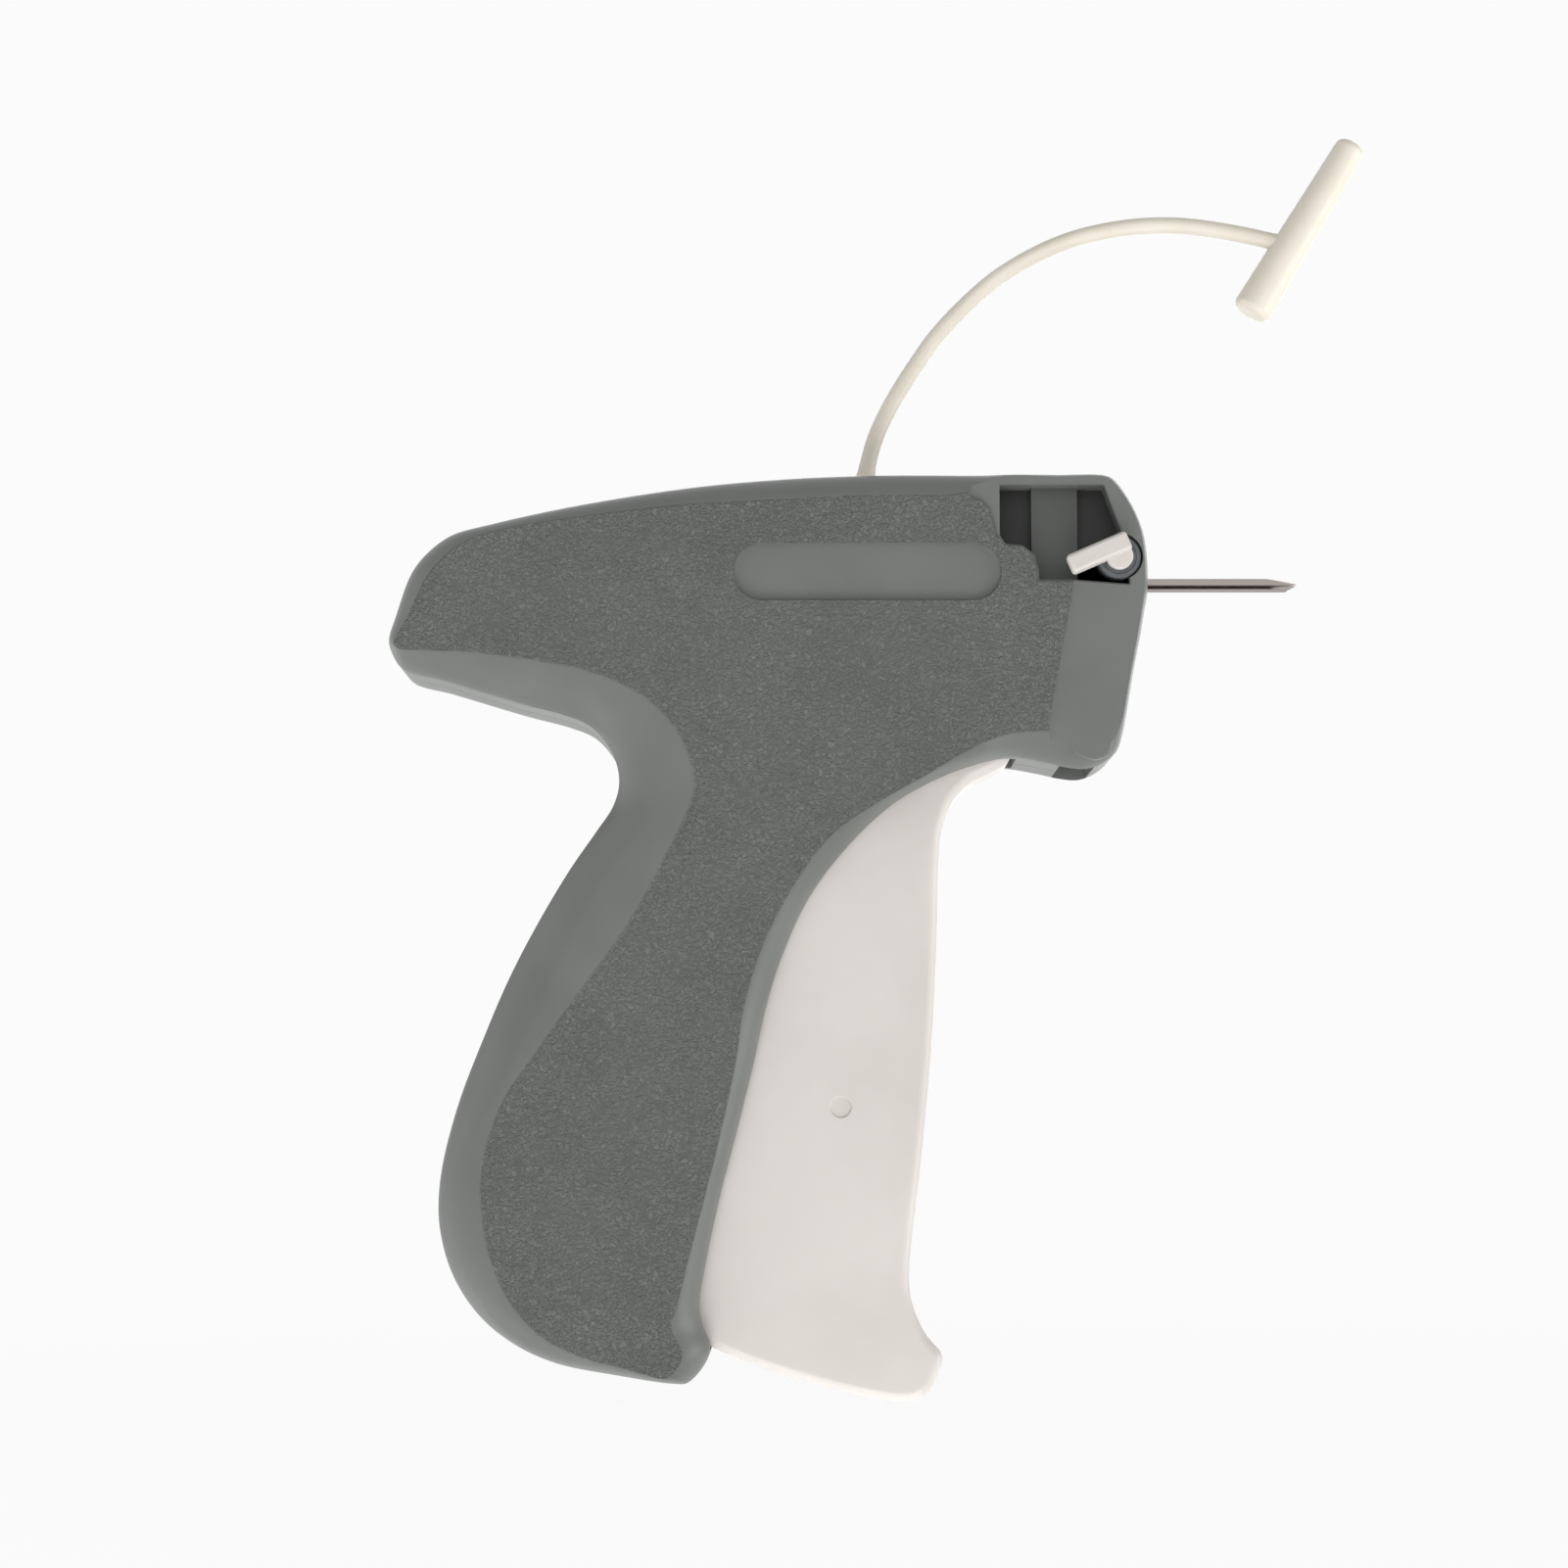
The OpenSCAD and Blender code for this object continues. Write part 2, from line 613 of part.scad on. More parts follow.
module slider() {
    color(white)
        difference() {
            union() {
                block([slider_x - slider_back, slider_x + slider_nose], [-slider_half_y, slider_half_y],
                    slider_z);
                block([slider_x - slider_back, slider_x + slider_nose],
                    [-slider_half_y - tongue_out, slider_half_y + tongue_out],
                    [-tongue_t / 2, tongue_t / 2]);
                for (y = [yoke_y, -yoke_y - yoke_t])
                    block(span(slider_x, yoke_half_x), [y, y + yoke_t],
                        [yoke_low - roller_d / 2 - yoke_rim, slider_z[0] + past]);
            }
            slab(-slider_half_y, slider_half_y)
                stadium([slider_x, yoke_low], [slider_x, yoke_high],
                    roller_d / 2 + yoke_play + end_gap);
            rod_x(pocket_x, slider_x + slider_nose + past, spring_d + slot_gap);
            rod_x(slider_x - slider_back - past, pocket_x + past, rod_d);
        }
}

module ejector_rod() {
    color(steel)
        rod_x(slider_x - slider_back, rod_tip, rod_d);
}

module rod_guide() {
    color(grey)
        difference() {
            block(guide_x, [-guide_half_y, guide_half_y], guide_z);
            rod_x(guide_x[0] - past, guide_x[1] + past, rod_d + 2 * fit);
        }
}

module return_spring() {
    color(steel)
        difference() {
            rod_x(pocket_x, guide_x[0], spring_d);
            rod_x(pocket_x - past, guide_x[0] + past, spring_d - 2 * spring_t);
        }
}

// ---- needle ----

module needle() {
    color(steel)
        difference() {
            union() {
                rod_x(blade_x, 0, hidden_needle_d);
                rod_x(0, needle_len, needle_d);
            }
            rod_x(blade_x - past, needle_len + past, bore_d);
            block([blade_x - past, needle_len + past], [-needle_d, 0], slot_top - [needle_slot, 0]);
            slab(-needle_d, needle_d) ground_point();
        }
}

// The needle is ground to a point: a long slope above and a short one below.
module ground_point() {
    over = needle_d;
    for (side = [[over, needle_point], [-over, needle_point / 3]])
        polygon([[needle_len, 0], [needle_len + past, 0], [needle_len + past, side[0]],
            [needle_len - side[1], side[0]], [needle_len - side[1], side[0] / 2]]);
}

module needle_hub() {
    color(dark)
        difference() {
            rod_x(hub_x[0], hub_x[1], hub_d);
            rod_x(hub_x[0] - past, hub_x[1] + past, hidden_needle_d);
        }
}

module cutter_blade() {
    color(steel)
        difference() {
            block([blade_x, blade_x + blade_t], [-blade_half, blade_half], [-blade_half, blade_top]);
            rod_x(blade_x - past, blade_x + past, hidden_needle_d);
        }
}

// ---- clip feed ----

module clip_shape(x_half, z_end) {
    front = clip_x + x_half;
    rear = clip_x - x_half;
    polygon([[rear, clip_top], [front, clip_top], [front, clip_turn],
        [front + clip_lean, z_end], [rear + clip_lean, z_end], [rear, clip_turn]]);
}

module clip_guide() {
    color(grey)
        difference() {
            slab(-clip_w / 2 - clip_side, clip_w / 2 + clip_side)
                clip_shape(clip_len / 2 + clip_wall, clip_end);
            slab(-clip_w / 2, clip_w / 2) {
                clip_shape(clip_len / 2, clip_end - past);
                translate([clip_x, clip_top]) square([clip_len, 2 * past], center = true);
            }
            rod_x(rod_tip - past, blade_x, bore_d + side_gap);
            bar(wheel, wheel_d + 2 * gap, -wheel_half_t - side_gap, wheel_half_t + side_gap);
        }
}

module teeth(p, tip_d, count) {
    pitch = 360 / count;
    root = tip_d / 2 - tooth_h;
    translate(p)
        polygon([for (i = [0 : count - 1])
            each [root * away(i * pitch), tip_d / 2 * away((i + tooth_lean) * pitch)]]);
}

module feed_wheel() {
    color(white)
        difference() {
            union() {
                slab(-wheel_half_t, wheel_half_t) teeth(wheel, wheel_d - face_gap, wheel_teeth);
                bar(wheel, wheel_hub_d, wheel_hub_y, ratchet_y + slide_t);
                slab(ratchet_y, ratchet_y + slide_t) teeth(wheel, ratchet_d, wheel_teeth);
            }
            bar(wheel, axle_d + 2 * fit, wheel_hub_y - past, ratchet_y + slide_t + past);
        }
}

module feed_axle() {
    color(steel)
        bar(wheel, axle_d, -axle_end, axle_end);
}

module feed_slide() {
    color(grey)
        slab(ratchet_y, ratchet_y + slide_t)
            difference() {
                translate([crank[0] - slide_back, trigger_pivot[1] + slide_z[0]])
                    square([slide_front - crank[0] + slide_back, slide_z[1] - slide_z[0]]);
                stadium(crank - [slide_slot[0], 0], crank + [slide_slot[1], 0], crank_d / 2 + fit);
                stadium(trigger_pivot, trigger_pivot - [0, feed_lift], left_boss_d / 2 + end_gap);
            }
}

module feed_pawl() {
    color(steel)
        slab(ratchet_y + face_gap, ratchet_y + slide_t - face_gap)
            translate(wheel) polygon(pawl_points);
}

module detent_spring() {
    color(steel)
        slab(-detent_half, detent_half)
            translate(wheel) polygon(detent_points);
}

// ---- lock lever ----

module lock_disc() {
    color(dark)
        mirror([0, 1, 0]) {
            bar(lock, disc_d, disc_y[0], disc_y[1]);
            bar(lock, lock_shaft_d, shaft_end, disc_y[0]);
        }
}

module lock_lever() {
    along = away(lock_angle);
    middle = lock + lever_rise * away(lock_angle - 90);
    color(white)
        mirror([0, 1, 0]) {
            bar(lock, lever_boss_d, disc_y[1], lever_y[0] + overlap);
            slab(lever_y[0], lever_y[1])
                link(middle - along * lever_tail, middle + along * (lever_len - lever_tail), lever_w / 2);
        }
}

// ---- strap ----

// A tube of round sections swept along points in the X and Z plane.
module tube(points, d, sides) {
    rings = len(points);
    polyhedron(
        points = [for (i = [0 : rings - 1]) for (k = [0 : sides - 1])
            let (turn = heading(points, i), a = 360 * k / sides, side = d / 2 * cos(a))
                [points[i][0] - side * sin(turn), -d / 2 * sin(a), points[i][1] + side * cos(turn)]],
        faces = concat(
            [[for (k = [0 : sides - 1]) k]],
            [for (i = [0 : rings - 2]) for (k = [0 : sides - 1]) let (n = (k + 1) % sides)
                each [[i * sides + k, (i + 1) * sides + k, (i + 1) * sides + n],
                    [i * sides + k, (i + 1) * sides + n, i * sides + n]]],
            [[for (k = [sides - 1 : -1 : 0]) (rings - 1) * sides + k]]));
}

module t_strap() {
    head_z = strap[1] - wall - gap - strap_head_t;
    color(cream) {
        translate([strap[0], 0, strap[1]])
            cylinder(d1 = flange_d, d2 = flange_d - 2 * flange_slope, h = flange_h);
        translate([strap[0], 0, head_z + strap_head_t - overlap])
            cylinder(d = strap_stem_d, h = strap[1] - head_z - strap_head_t + 2 * overlap);
        translate([strap[0], 0, head_z])
            cylinder(d = strap_head_d, h = strap_head_t);
        tube(strand_points, strand_d, 10);
        translate([tbar[0], 0, tbar[1]])
            rotate([0, 90 - tbar_angle, 0])
                translate([0, 0, -tbar_len / 2])
                    cylinder(d1 = tbar_d, d2 = tbar_d * tbar_taper, h = tbar_len);
    }
}

right_shell();
left_shell();
shell_screws();
trigger();
trigger_pin();
arm_bracket();
drive_arm();
arm_pin();
arm_roller();
slider();
slider_pin();
ejector_rod();
rod_guide();
return_spring();
needle();
needle_hub();
cutter_blade();
clip_guide();
feed_wheel();
feed_axle();
feed_slide();
feed_pawl();
detent_spring();
lock_disc();
lock_lever();
t_strap();
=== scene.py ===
"""Garment tag attacher seen from its right side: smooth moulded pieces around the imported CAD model.

Sizes are in millimetres in the classes below, and MM turns them to metres where a mesh is made.
X runs forward along the needle, Y to the tool's left and Z up, as in the CAD model.
"""

import logging
import math
from dataclasses import dataclass, field
from enum import Enum

import bmesh
import bpy
import numpy as np
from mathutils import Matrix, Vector


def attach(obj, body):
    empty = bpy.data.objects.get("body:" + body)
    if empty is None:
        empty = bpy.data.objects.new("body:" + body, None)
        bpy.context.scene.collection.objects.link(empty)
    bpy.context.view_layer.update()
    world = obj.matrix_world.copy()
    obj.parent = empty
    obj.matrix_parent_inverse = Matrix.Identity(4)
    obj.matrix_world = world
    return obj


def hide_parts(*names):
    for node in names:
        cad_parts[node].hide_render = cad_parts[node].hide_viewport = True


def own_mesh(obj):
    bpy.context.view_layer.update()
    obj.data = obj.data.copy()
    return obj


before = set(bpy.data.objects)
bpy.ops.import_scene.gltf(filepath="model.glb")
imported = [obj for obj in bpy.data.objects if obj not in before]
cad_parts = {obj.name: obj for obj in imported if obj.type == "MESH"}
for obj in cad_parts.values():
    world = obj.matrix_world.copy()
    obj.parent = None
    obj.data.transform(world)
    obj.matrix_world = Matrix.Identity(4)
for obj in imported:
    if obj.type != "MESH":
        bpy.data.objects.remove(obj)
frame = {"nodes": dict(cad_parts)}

MM = 0.001
LOG = logging.getLogger("tag_attacher")
Array = np.ndarray
Pair = tuple[float, float]
Triple = tuple[float, float, float]

# Silhouette of the body at the joint of its two halves, and the same stations on the flat of the side.
EDGE = np.array([
    [-5, 15.2], [-6.5, 16], [-14, 16.1], [-23, 16.1], [-28, 16.1], [-42, 16.1], [-57, 15.5], [-72, 14.1],
    [-90, 11.2], [-103, 8.3], [-109, 6.6], [-112.6, 4], [-115.2, 0.7], [-117.6, -6], [-118.7, -10],
    [-118.3, -11.8], [-116.5, -14.5], [-110, -16.4], [-98, -20], [-91.5, -21.7], [-87.5, -23.3],
    [-84.9, -25.8], [-83.2, -28.9], [-82.6, -32.4], [-83.5, -36], [-86.1, -40], [-90.1, -45.8],
    [-94.9, -53.9], [-99.4, -62.6], [-103.5, -72.3], [-107.4, -82.8], [-109.9, -93.5], [-110, -101],
    [-107.8, -108.7], [-103.5, -115], [-98, -119.3], [-91.8, -122], [-82.7, -123.8], [-73.7, -125.1],
    [-71.6, -124.9], [-68.3, -120.3], [-69.5, -116.2], [-70, -113.3], [-68.9, -106.3], [-66.9, -96.9],
    [-64.5, -87.6], [-61.8, -76.8], [-59.6, -66.9], [-57, -58.8], [-52.8, -49.9], [-46.6, -41.8],
    [-40.2, -35.8], [-34.6, -32.4], [-28.7, -29.9], [-22.4, -28.4], [-16, -29.3], [-12.8, -30],
    [-9.7, -30.2], [-7, -29.2], [-5, -27.4], [-4.2, -25.3], [-3.7, -23], [-2.9, -18.5], [-2.1, -14],
    [-1.2, -9.6], [-0.5, -5.5], [0, -2.5], [0, 3], [-0.6, 7], [-2.2, 11]])
FACE = np.array([
    [-5.8, 14], [-7, 14.7], [-14, 14.8], [-23, 14.8], [-29, 12.3], [-43.3, 11.9], [-58, 11.2],
    [-72, 10.5], [-88.2, 8.7], [-100, 6.8], [-106, 5], [-109.2, 2.8], [-112.2, -0.6], [-115.2, -7],
    [-117.4, -11.2], [-116.8, -11.9], [-113.2, -12.1], [-105, -12.3], [-94, -13.7], [-87.3, -15],
    [-82, -17], [-77.5, -19.7], [-73.6, -23.6], [-71, -28.5], [-70, -33.3], [-71.5, -38.2],
    [-74.1, -43.6], [-79.5, -53.8], [-86.8, -64.1], [-94.1, -73.9], [-100, -82.7], [-102.7, -91.5],
    [-102.8, -98.8], [-101.2, -106.5], [-98.1, -113], [-93.1, -118], [-87.3, -120.9], [-81.5, -122.4],
    [-75.2, -124], [-74, -123.4], [-72.6, -120.5], [-74.3, -116.3], [-73.4, -113.2], [-71.6, -105.9],
    [-69.2, -96.8], [-66.9, -87.5], [-64.6, -76.6], [-63, -66.5], [-60.4, -58.3], [-56, -49.5],
    [-49.8, -41.1], [-42, -35.6], [-35, -31.7], [-28.7, -27.9], [-22.4, -25.2], [-16, -24.6], [-13, -25],
    [-10, -25.7], [-7.8, -25.9], [-6.3, -25.4], [-5.4, -24.2], [-4.7, -22.6], [-3.9, -18.3], [-3.1, -14],
    [-2.3, -9.6], [-1.6, -5.5], [-1.2, -2.5], [-1.2, 3], [-1.8, 6.8], [-3.2, 10.4]])


# ---- curves and surfaces ----


def spline(knots: Array, steps: int, closed: bool = True) -> Array:
    """Smooth curve through knots: a centripetal Catmull-Rom curve.

    Each stretch blends straight lines through four neighbouring knots, timed by the square roots of
    the distances between them, so that it doesn't loop or overshoot where knots are uneven.

    Args:
        knots: Points, one a row.
        steps: Points on each stretch.
        closed: Whether the curve runs back to its first knot.

    Returns:
        The curve's points, one a row.
    """
    if closed:
        parts = [np.roll(knots, shift, axis=0) for shift in (1, 0, -1, -2)]
    else:
        longer = np.vstack([2 * knots[:1] - knots[1:2], knots, 2 * knots[-1:] - knots[-2:-1]])
        parts = [longer[first:len(longer) - 3 + first] for first in range(4)]
    p0, p1, p2, p3 = (part[:, None, :] for part in parts)
    t1 = np.sqrt(np.linalg.norm(p1 - p0, axis=2, keepdims=True))
    t2 = t1 + np.sqrt(np.linalg.norm(p2 - p1, axis=2, keepdims=True))
    t3 = t2 + np.sqrt(np.linalg.norm(p3 - p2, axis=2, keepdims=True))
    t = t1 + (t2 - t1) * np.linspace(0, 1, steps, endpoint=False)[None, :, None]
    a1 = (t1 - t) / t1 * p0 + t / t1 * p1
    a2 = (t2 - t) / (t2 - t1) * p1 + (t - t1) / (t2 - t1) * p2
    a3 = (t3 - t) / (t3 - t2) * p2 + (t - t2) / (t3 - t2) * p3
    b1 = (t2 - t) / t2 * a1 + t / t2 * a2
    b2 = (t3 - t) / (t3 - t1) * a2 + (t - t1) / (t3 - t1) * a3
    curve = ((t2 - t) / (t2 - t1) * b1 + (t - t1) / (t2 - t1) * b2).reshape(-1, knots.shape[1])
    return curve if closed else np.vstack([curve, knots[-1:]])


def rounded(corners: Array, reach: float, steps: int = 5) -> Array:
    """Outline with rounded corners: each is a parabola from reach before the corner to reach after it.

    Args:
        corners: Corners of the outline, one a row.
        reach: How far from each corner its curve starts and ends.
        steps: Points on each corner's curve.

    Returns:
        The outline's points, one a row.
    """
    def toward(other: Array) -> Array:
        """Each corner, moved by reach toward another point."""
        way = other - corners
        return corners + way / np.linalg.norm(way, axis=1, keepdims=True) * reach

    start, end = toward(np.roll(corners, 1, axis=0)), toward(np.roll(corners, -1, axis=0))
    t = np.linspace(0, 1, steps)[None, :, None]
    curve = (1 - t) ** 2 * start[:, None] + 2 * t * (1 - t) * corners[:, None] + t ** 2 * end[:, None]
    return curve.reshape(-1, 2)


def circle(centre: Array | Pair, radius: float, steps: int = 64) -> Array:
    """Points evenly round a circle, from its rightmost point upward."""
    angle = np.linspace(0, 2 * np.pi, steps, endpoint=False)
    return np.asarray(centre) + radius * np.stack([np.cos(angle), np.sin(angle)], axis=1)


def band(path: Array, half: float, steps: int = 13) -> Array:
    """Outline round an open path: its two sides half away from it, joined by half circles.

    Args:
        path: Points of the path, one a row.
        half: Half the band's width.
        steps: Points on each round end.

    Returns:
        The outline's points, one a row.
    """
    way = np.gradient(path, axis=0)
    way /= np.linalg.norm(way, axis=1, keepdims=True)
    right = np.stack([way[:, 1], -way[:, 0]], axis=1) * half
    turn = np.linspace(-np.pi / 2, np.pi / 2, steps)[1:-1]
    heading = np.arctan2(way[[-1, 0], 1], way[[-1, 0], 0]) + [0, np.pi]
    ends = [np.stack([np.cos(a + turn), np.sin(a + turn)], axis=1) * half for a in heading]
    return np.vstack([path + right, path[-1] + ends[0], (path - right)[::-1], path[0] + ends[1]])


def outward(outline: Array) -> Array:
    """Unit steps out of an outline, square to the line between each point's neighbours.

    Args:
        outline: Anticlockwise points, one a row.

    Returns:
        One step a point.
    """
    way = np.roll(outline, -1, axis=0) - np.roll(outline, 1, axis=0)
    way /= np.linalg.norm(way, axis=1, keepdims=True)
    return np.stack([way[:, 1], -way[:, 0]], axis=1)


def anticlockwise(outline: Array) -> Array:
    """Turns an outline round if the area it goes round, half the sum of x dz - z dx, is negative.

    Args:
        outline: Points, one a row.

    Returns:
        The same points, anticlockwise.
    """
    x, z = outline.T
    area = np.sum(x * np.roll(z, -1) - z * np.roll(x, -1))
    return outline if area > 0 else outline[::-1]


def inset(outline: Array, depth: float) -> Array:
    """Outline moved inward, for the inside of a wall of even thickness.

    Each point steps inward by depth, and a point that ends nearer than that to the outline is left
    out, so tight corners don't turn into loops.

    Args:
        outline: Anticlockwise points, one a row, close together.
        depth: How far inward.

    Returns:
        The points that are left, one a row.
    """
    moved = outline - outward(outline) * depth
    side = np.roll(outline, -1, axis=0) - outline
    from_start = moved[:, None] - outline[None]
    along = np.clip(np.sum(from_start * side, axis=2) / np.sum(side * side, axis=1), 0, 1)
    away = np.linalg.norm(from_start - along[..., None] * side, axis=2).min(axis=1)
    return moved[away > depth * 0.99]


def sheet_faces(rows: int, columns: int) -> Array:
    """Four-sided faces between the rows of a grid whose rows are closed rings.

    Args:
        rows: Number of rings.
        columns: Points of a ring.

    Returns:
        Four point numbers a face.
    """
    here = np.arange(rows - 1)[:, None] * columns + np.arange(columns)
    beside = np.arange(rows - 1)[:, None] * columns + (np.arange(columns) + 1) % columns
    return np.stack([here, here + columns, beside + columns, beside], axis=2).reshape(-1, 4)


@dataclass
class Surface:
    """Points in millimetres and the faces between them."""

    points: Array
    faces: list[list[int]]

    def __add__(self, other: "Surface") -> "Surface":
        """Puts both surfaces together, each still closed in itself.

        Args:
            other: The other surface.

        Returns:
            Both as one.
        """
        shift = len(self.points)
        moved = [[index + shift for index in face] for face in other.faces]
        return Surface(np.vstack([self.points, other.points]), self.faces + moved)


def loft(rings: Array) -> Surface:
    """Closed skin over rings of points, with a flat face over the first and the last.

    Args:
        rings: Points, as rings by points of a ring by three.

    Returns:
        The surface.
    """
    rows, columns = rings.shape[:2]
    caps = [list(range(columns)), list(range(rows * columns - 1, (rows - 1) * columns - 1, -1))]
    return Surface(rings.reshape(-1, 3), sheet_faces(rows, columns).tolist() + caps)


def raised(flat: Array, height: Array) -> Array:
    """Rings of points in X and Z, each put at its own height in Y."""
    return np.stack([flat[..., 0], np.broadcast_to(height[:, None], flat.shape[:2]), flat[..., 1]], axis=2)


def prism(outline: Array, levels: list[Pair]) -> Surface:
    """Solid over a flat outline in X and Z: at each level of Y the outline grows by a step outward.

    Args:
        outline: Points, one a row.
        levels: Height in Y, and how far the outline stands out from its own place there.

    Returns:
        The surface.
    """
    outline = anticlockwise(outline)
    height, growth = np.array(levels, float).T
    flat = outline[None] + growth[:, None, None] * outward(outline)[None]
    return loft(raised(flat, height))


def box(x: Pair, y: Pair, z: Pair) -> Surface:
    """Block between two places on each axis."""
    side = np.array([[x[0], z[0]], [x[1], z[0]], [x[1], z[1]], [x[0], z[1]]], float)
    return prism(side, [(y[0], 0), (y[1], 0)])


def lathe(profile: Array, origin: Array | Triple, axis: Array | Triple, steps: int = 64) -> Surface:
    """Profile turned about an axis: a point at distance s along it and radius r goes round a circle.

    Args:
        profile: Distance along the axis and radius, one pair a row. End radii are above zero.
        origin: Where distance zero is.
        axis: Unit direction of the axis.
        steps: Points round the axis.

    Returns:
        The surface.
    """
    axis = np.asarray(axis, float)
    first = np.cross(axis, [0, 1, 0] if abs(axis[1]) < 0.9 else [1, 0, 0])
    first /= np.linalg.norm(first)
    second = np.cross(axis, first)
    angle = np.linspace(0, 2 * np.pi, steps, endpoint=False)
    spoke = np.cos(angle)[:, None] * first + np.sin(angle)[:, None] * second
    return loft(np.asarray(origin) + profile[:, :1, None] * axis + profile[:, 1:, None] * spoke[None])


def tube(path: Array, side: Array, radius: Array, steps: int = 24) -> Surface:
    """Round section carried along a path, square to it.

    Args:
        path: Points of the path, one a row.
        side: A direction square to the path at each point.
        radius: The section's radius at each point.
        steps: Points round the section.

    Returns:
        The surface.
    """
    way = np.gradient(path, axis=0)
    way /= np.linalg.norm(way, axis=1, keepdims=True)
    other = np.cross(way, side)
    angle = np.linspace(0, 2 * np.pi, steps, endpoint=False)[None, :, None]
    spoke = np.cos(angle) * side[:, None] + np.sin(angle) * other[:, None]
    return loft(path[:, None] + radius[:, None, None] * spoke)


def dome(length: float, low: float, high: float, round_by: float, steps: int = 7) -> Array:
    """Profile of a tapered bar with rounded ends, for lathe().

    A quarter circle leads from the flat of each end to the side, which tapers straight.

    Args:
        length: Length of the bar.
        low: Radius at the start.
        high: Radius at the end.
        round_by: Radius of the rounded ends.
        steps: Points on each rounding.

    Returns:
        Distance along the axis and radius, one pair a row.
    """
    a = np.linspace(0, np.pi / 2, steps)
    along, across = round_by * (1 - np.cos(a)), round_by * (1 - np.sin(a))
    start = np.stack([along, low - across], axis=1)
    end = np.stack([length - along, high - across], axis=1)[::-1]
    return np.vstack([start, end])


# ---- solids in Blender ----


class Join(Enum):
    """How carve() puts two solids together."""

    AWAY = "DIFFERENCE"
    ADD = "UNION"
    KEEP = "INTERSECT"


def solid(name: str, surface: Surface) -> bpy.types.Object:
    """Makes a closed piece of a surface, with its faces turned outward.

    Args:
        name: Name of the piece.
        surface: The surface, in millimetres.

    Returns:
        The piece, at the origin, in metres.
    """
    mesh = bpy.data.meshes.new(name)
    mesh.from_pydata(surface.points * MM, [], surface.faces)
    work = bmesh.new()
    work.from_mesh(mesh)
    bmesh.ops.recalc_face_normals(work, faces=work.faces)
    work.to_mesh(mesh)
    work.free()
    made = bpy.data.objects.new(name, mesh)
    bpy.context.scene.collection.objects.link(made)
    return made


def apply_modifiers(piece: bpy.types.Object) -> None:
    """Puts the piece's modifiers into its mesh.

    Args:
        piece: The piece.
    """
    seen = piece.evaluated_get(bpy.context.evaluated_depsgraph_get())
    mesh = bpy.data.meshes.new_from_object(seen)
    old = piece.data
    piece.modifiers.clear()
    piece.data = mesh
    mesh.name = piece.name
    bpy.data.meshes.remove(old)


def carve(piece: bpy.types.Object, surface: Surface, how: Join = Join.AWAY) -> None:
    """Cuts a surface's solid out of the piece, or joins it on, with exact intersections.

    Args:
        piece: The piece that is changed.
        surface: The other solid.
        how: Whether it is cut away, added or kept in common.
    """
    tool = solid("tool", surface)
    change = piece.modifiers.new("carve", "BOOLEAN")
    change.operation = how.value
    change.solver = "EXACT"
    change.object = tool
    apply_modifiers(piece)
    mesh = tool.data
    bpy.data.objects.remove(tool)
    bpy.data.meshes.remove(mesh)


def surface_of(piece: bpy.types.Object) -> Surface:
    """Takes a piece away and keeps its surface.

    Args:
        piece: The piece.

    Returns:
        Its surface, in millimetres.
    """
    mesh = piece.data
    points = np.empty(len(mesh.vertices) * 3)
    mesh.vertices.foreach_get("co", points)
    faces = [list(face.vertices) for face in mesh.polygons]
    bpy.data.objects.remove(piece)
    bpy.data.meshes.remove(mesh)
    return Surface(points.reshape(-1, 3) / MM, faces)


FLATS_FIRST, BY_AREA = 80, 50            # how far larger faces outweigh smaller ones in the shading


def shade(piece: bpy.types.Object, crease: float, weight: int = FLATS_FIRST) -> None:
    """Smooth shading with creases, and flats kept flat.

    Args:
        piece: The piece.
        crease: Edges sharper than this angle in degrees are creases.
        weight: FLATS_FIRST, or BY_AREA on pieces that are round all over.
    """
    piece.data.shade_smooth()
    piece.data.set_sharp_from_angle(angle=math.radians(crease))
    flats = piece.modifiers.new("flats", "WEIGHTED_NORMAL")
    flats.keep_sharp = True
    flats.weight = weight


def mirrored(surface: Surface) -> Surface:
    """The surface on the other side of the middle plane, each face listed backwards to face outward."""
    return Surface(surface.points * [1, -1, 1], [face[::-1] for face in surface.faces])


# ---- finishes ----


def linear(code: str) -> tuple[float, float, float, float]:
    """Linear colour of an sRGB hex code.

    By the standard's curve: s / 12.92 up to 0.04045, and ((s + 0.055) / 1.055) to the power 2.4 above.

    Args:
        code: The colour, such as #6f726f.

    Returns:
        Red, green, blue and a full alpha.
    """
    s = np.array([int(code[i:i + 2], 16) for i in (1, 3, 5)]) / 255
    curve = np.where(s <= 0.04045, s / 12.92, ((s + 0.055) / 1.055) ** 2.4)
    return (*map(float, curve), 1.0)


def add(tree: bpy.types.NodeTree, kind: str, inputs: dict | None = None,
        **settings: object) -> bpy.types.Node:
    """Adds a node.

    Args:
        tree: The material's node tree.
        kind: The node's type.
        inputs: Value of each named input, or the output that is linked to it.
        settings: The node's own settings.

    Returns:
        The node.
    """
    made = tree.nodes.new(kind)
    for name, value in settings.items():
        setattr(made, name, value)
    for name, value in (inputs or {}).items():
        if isinstance(value, bpy.types.NodeSocket):
            tree.links.new(value, made.inputs[name])
        else:
            made.inputs[name].default_value = value
    return made


def cleared(owner: bpy.types.Material | bpy.types.World) -> bpy.types.NodeTree:
    """The node tree of a material or world, with its first nodes taken out."""
    owner.use_nodes = True
    owner.node_tree.nodes.clear()
    return owner.node_tree


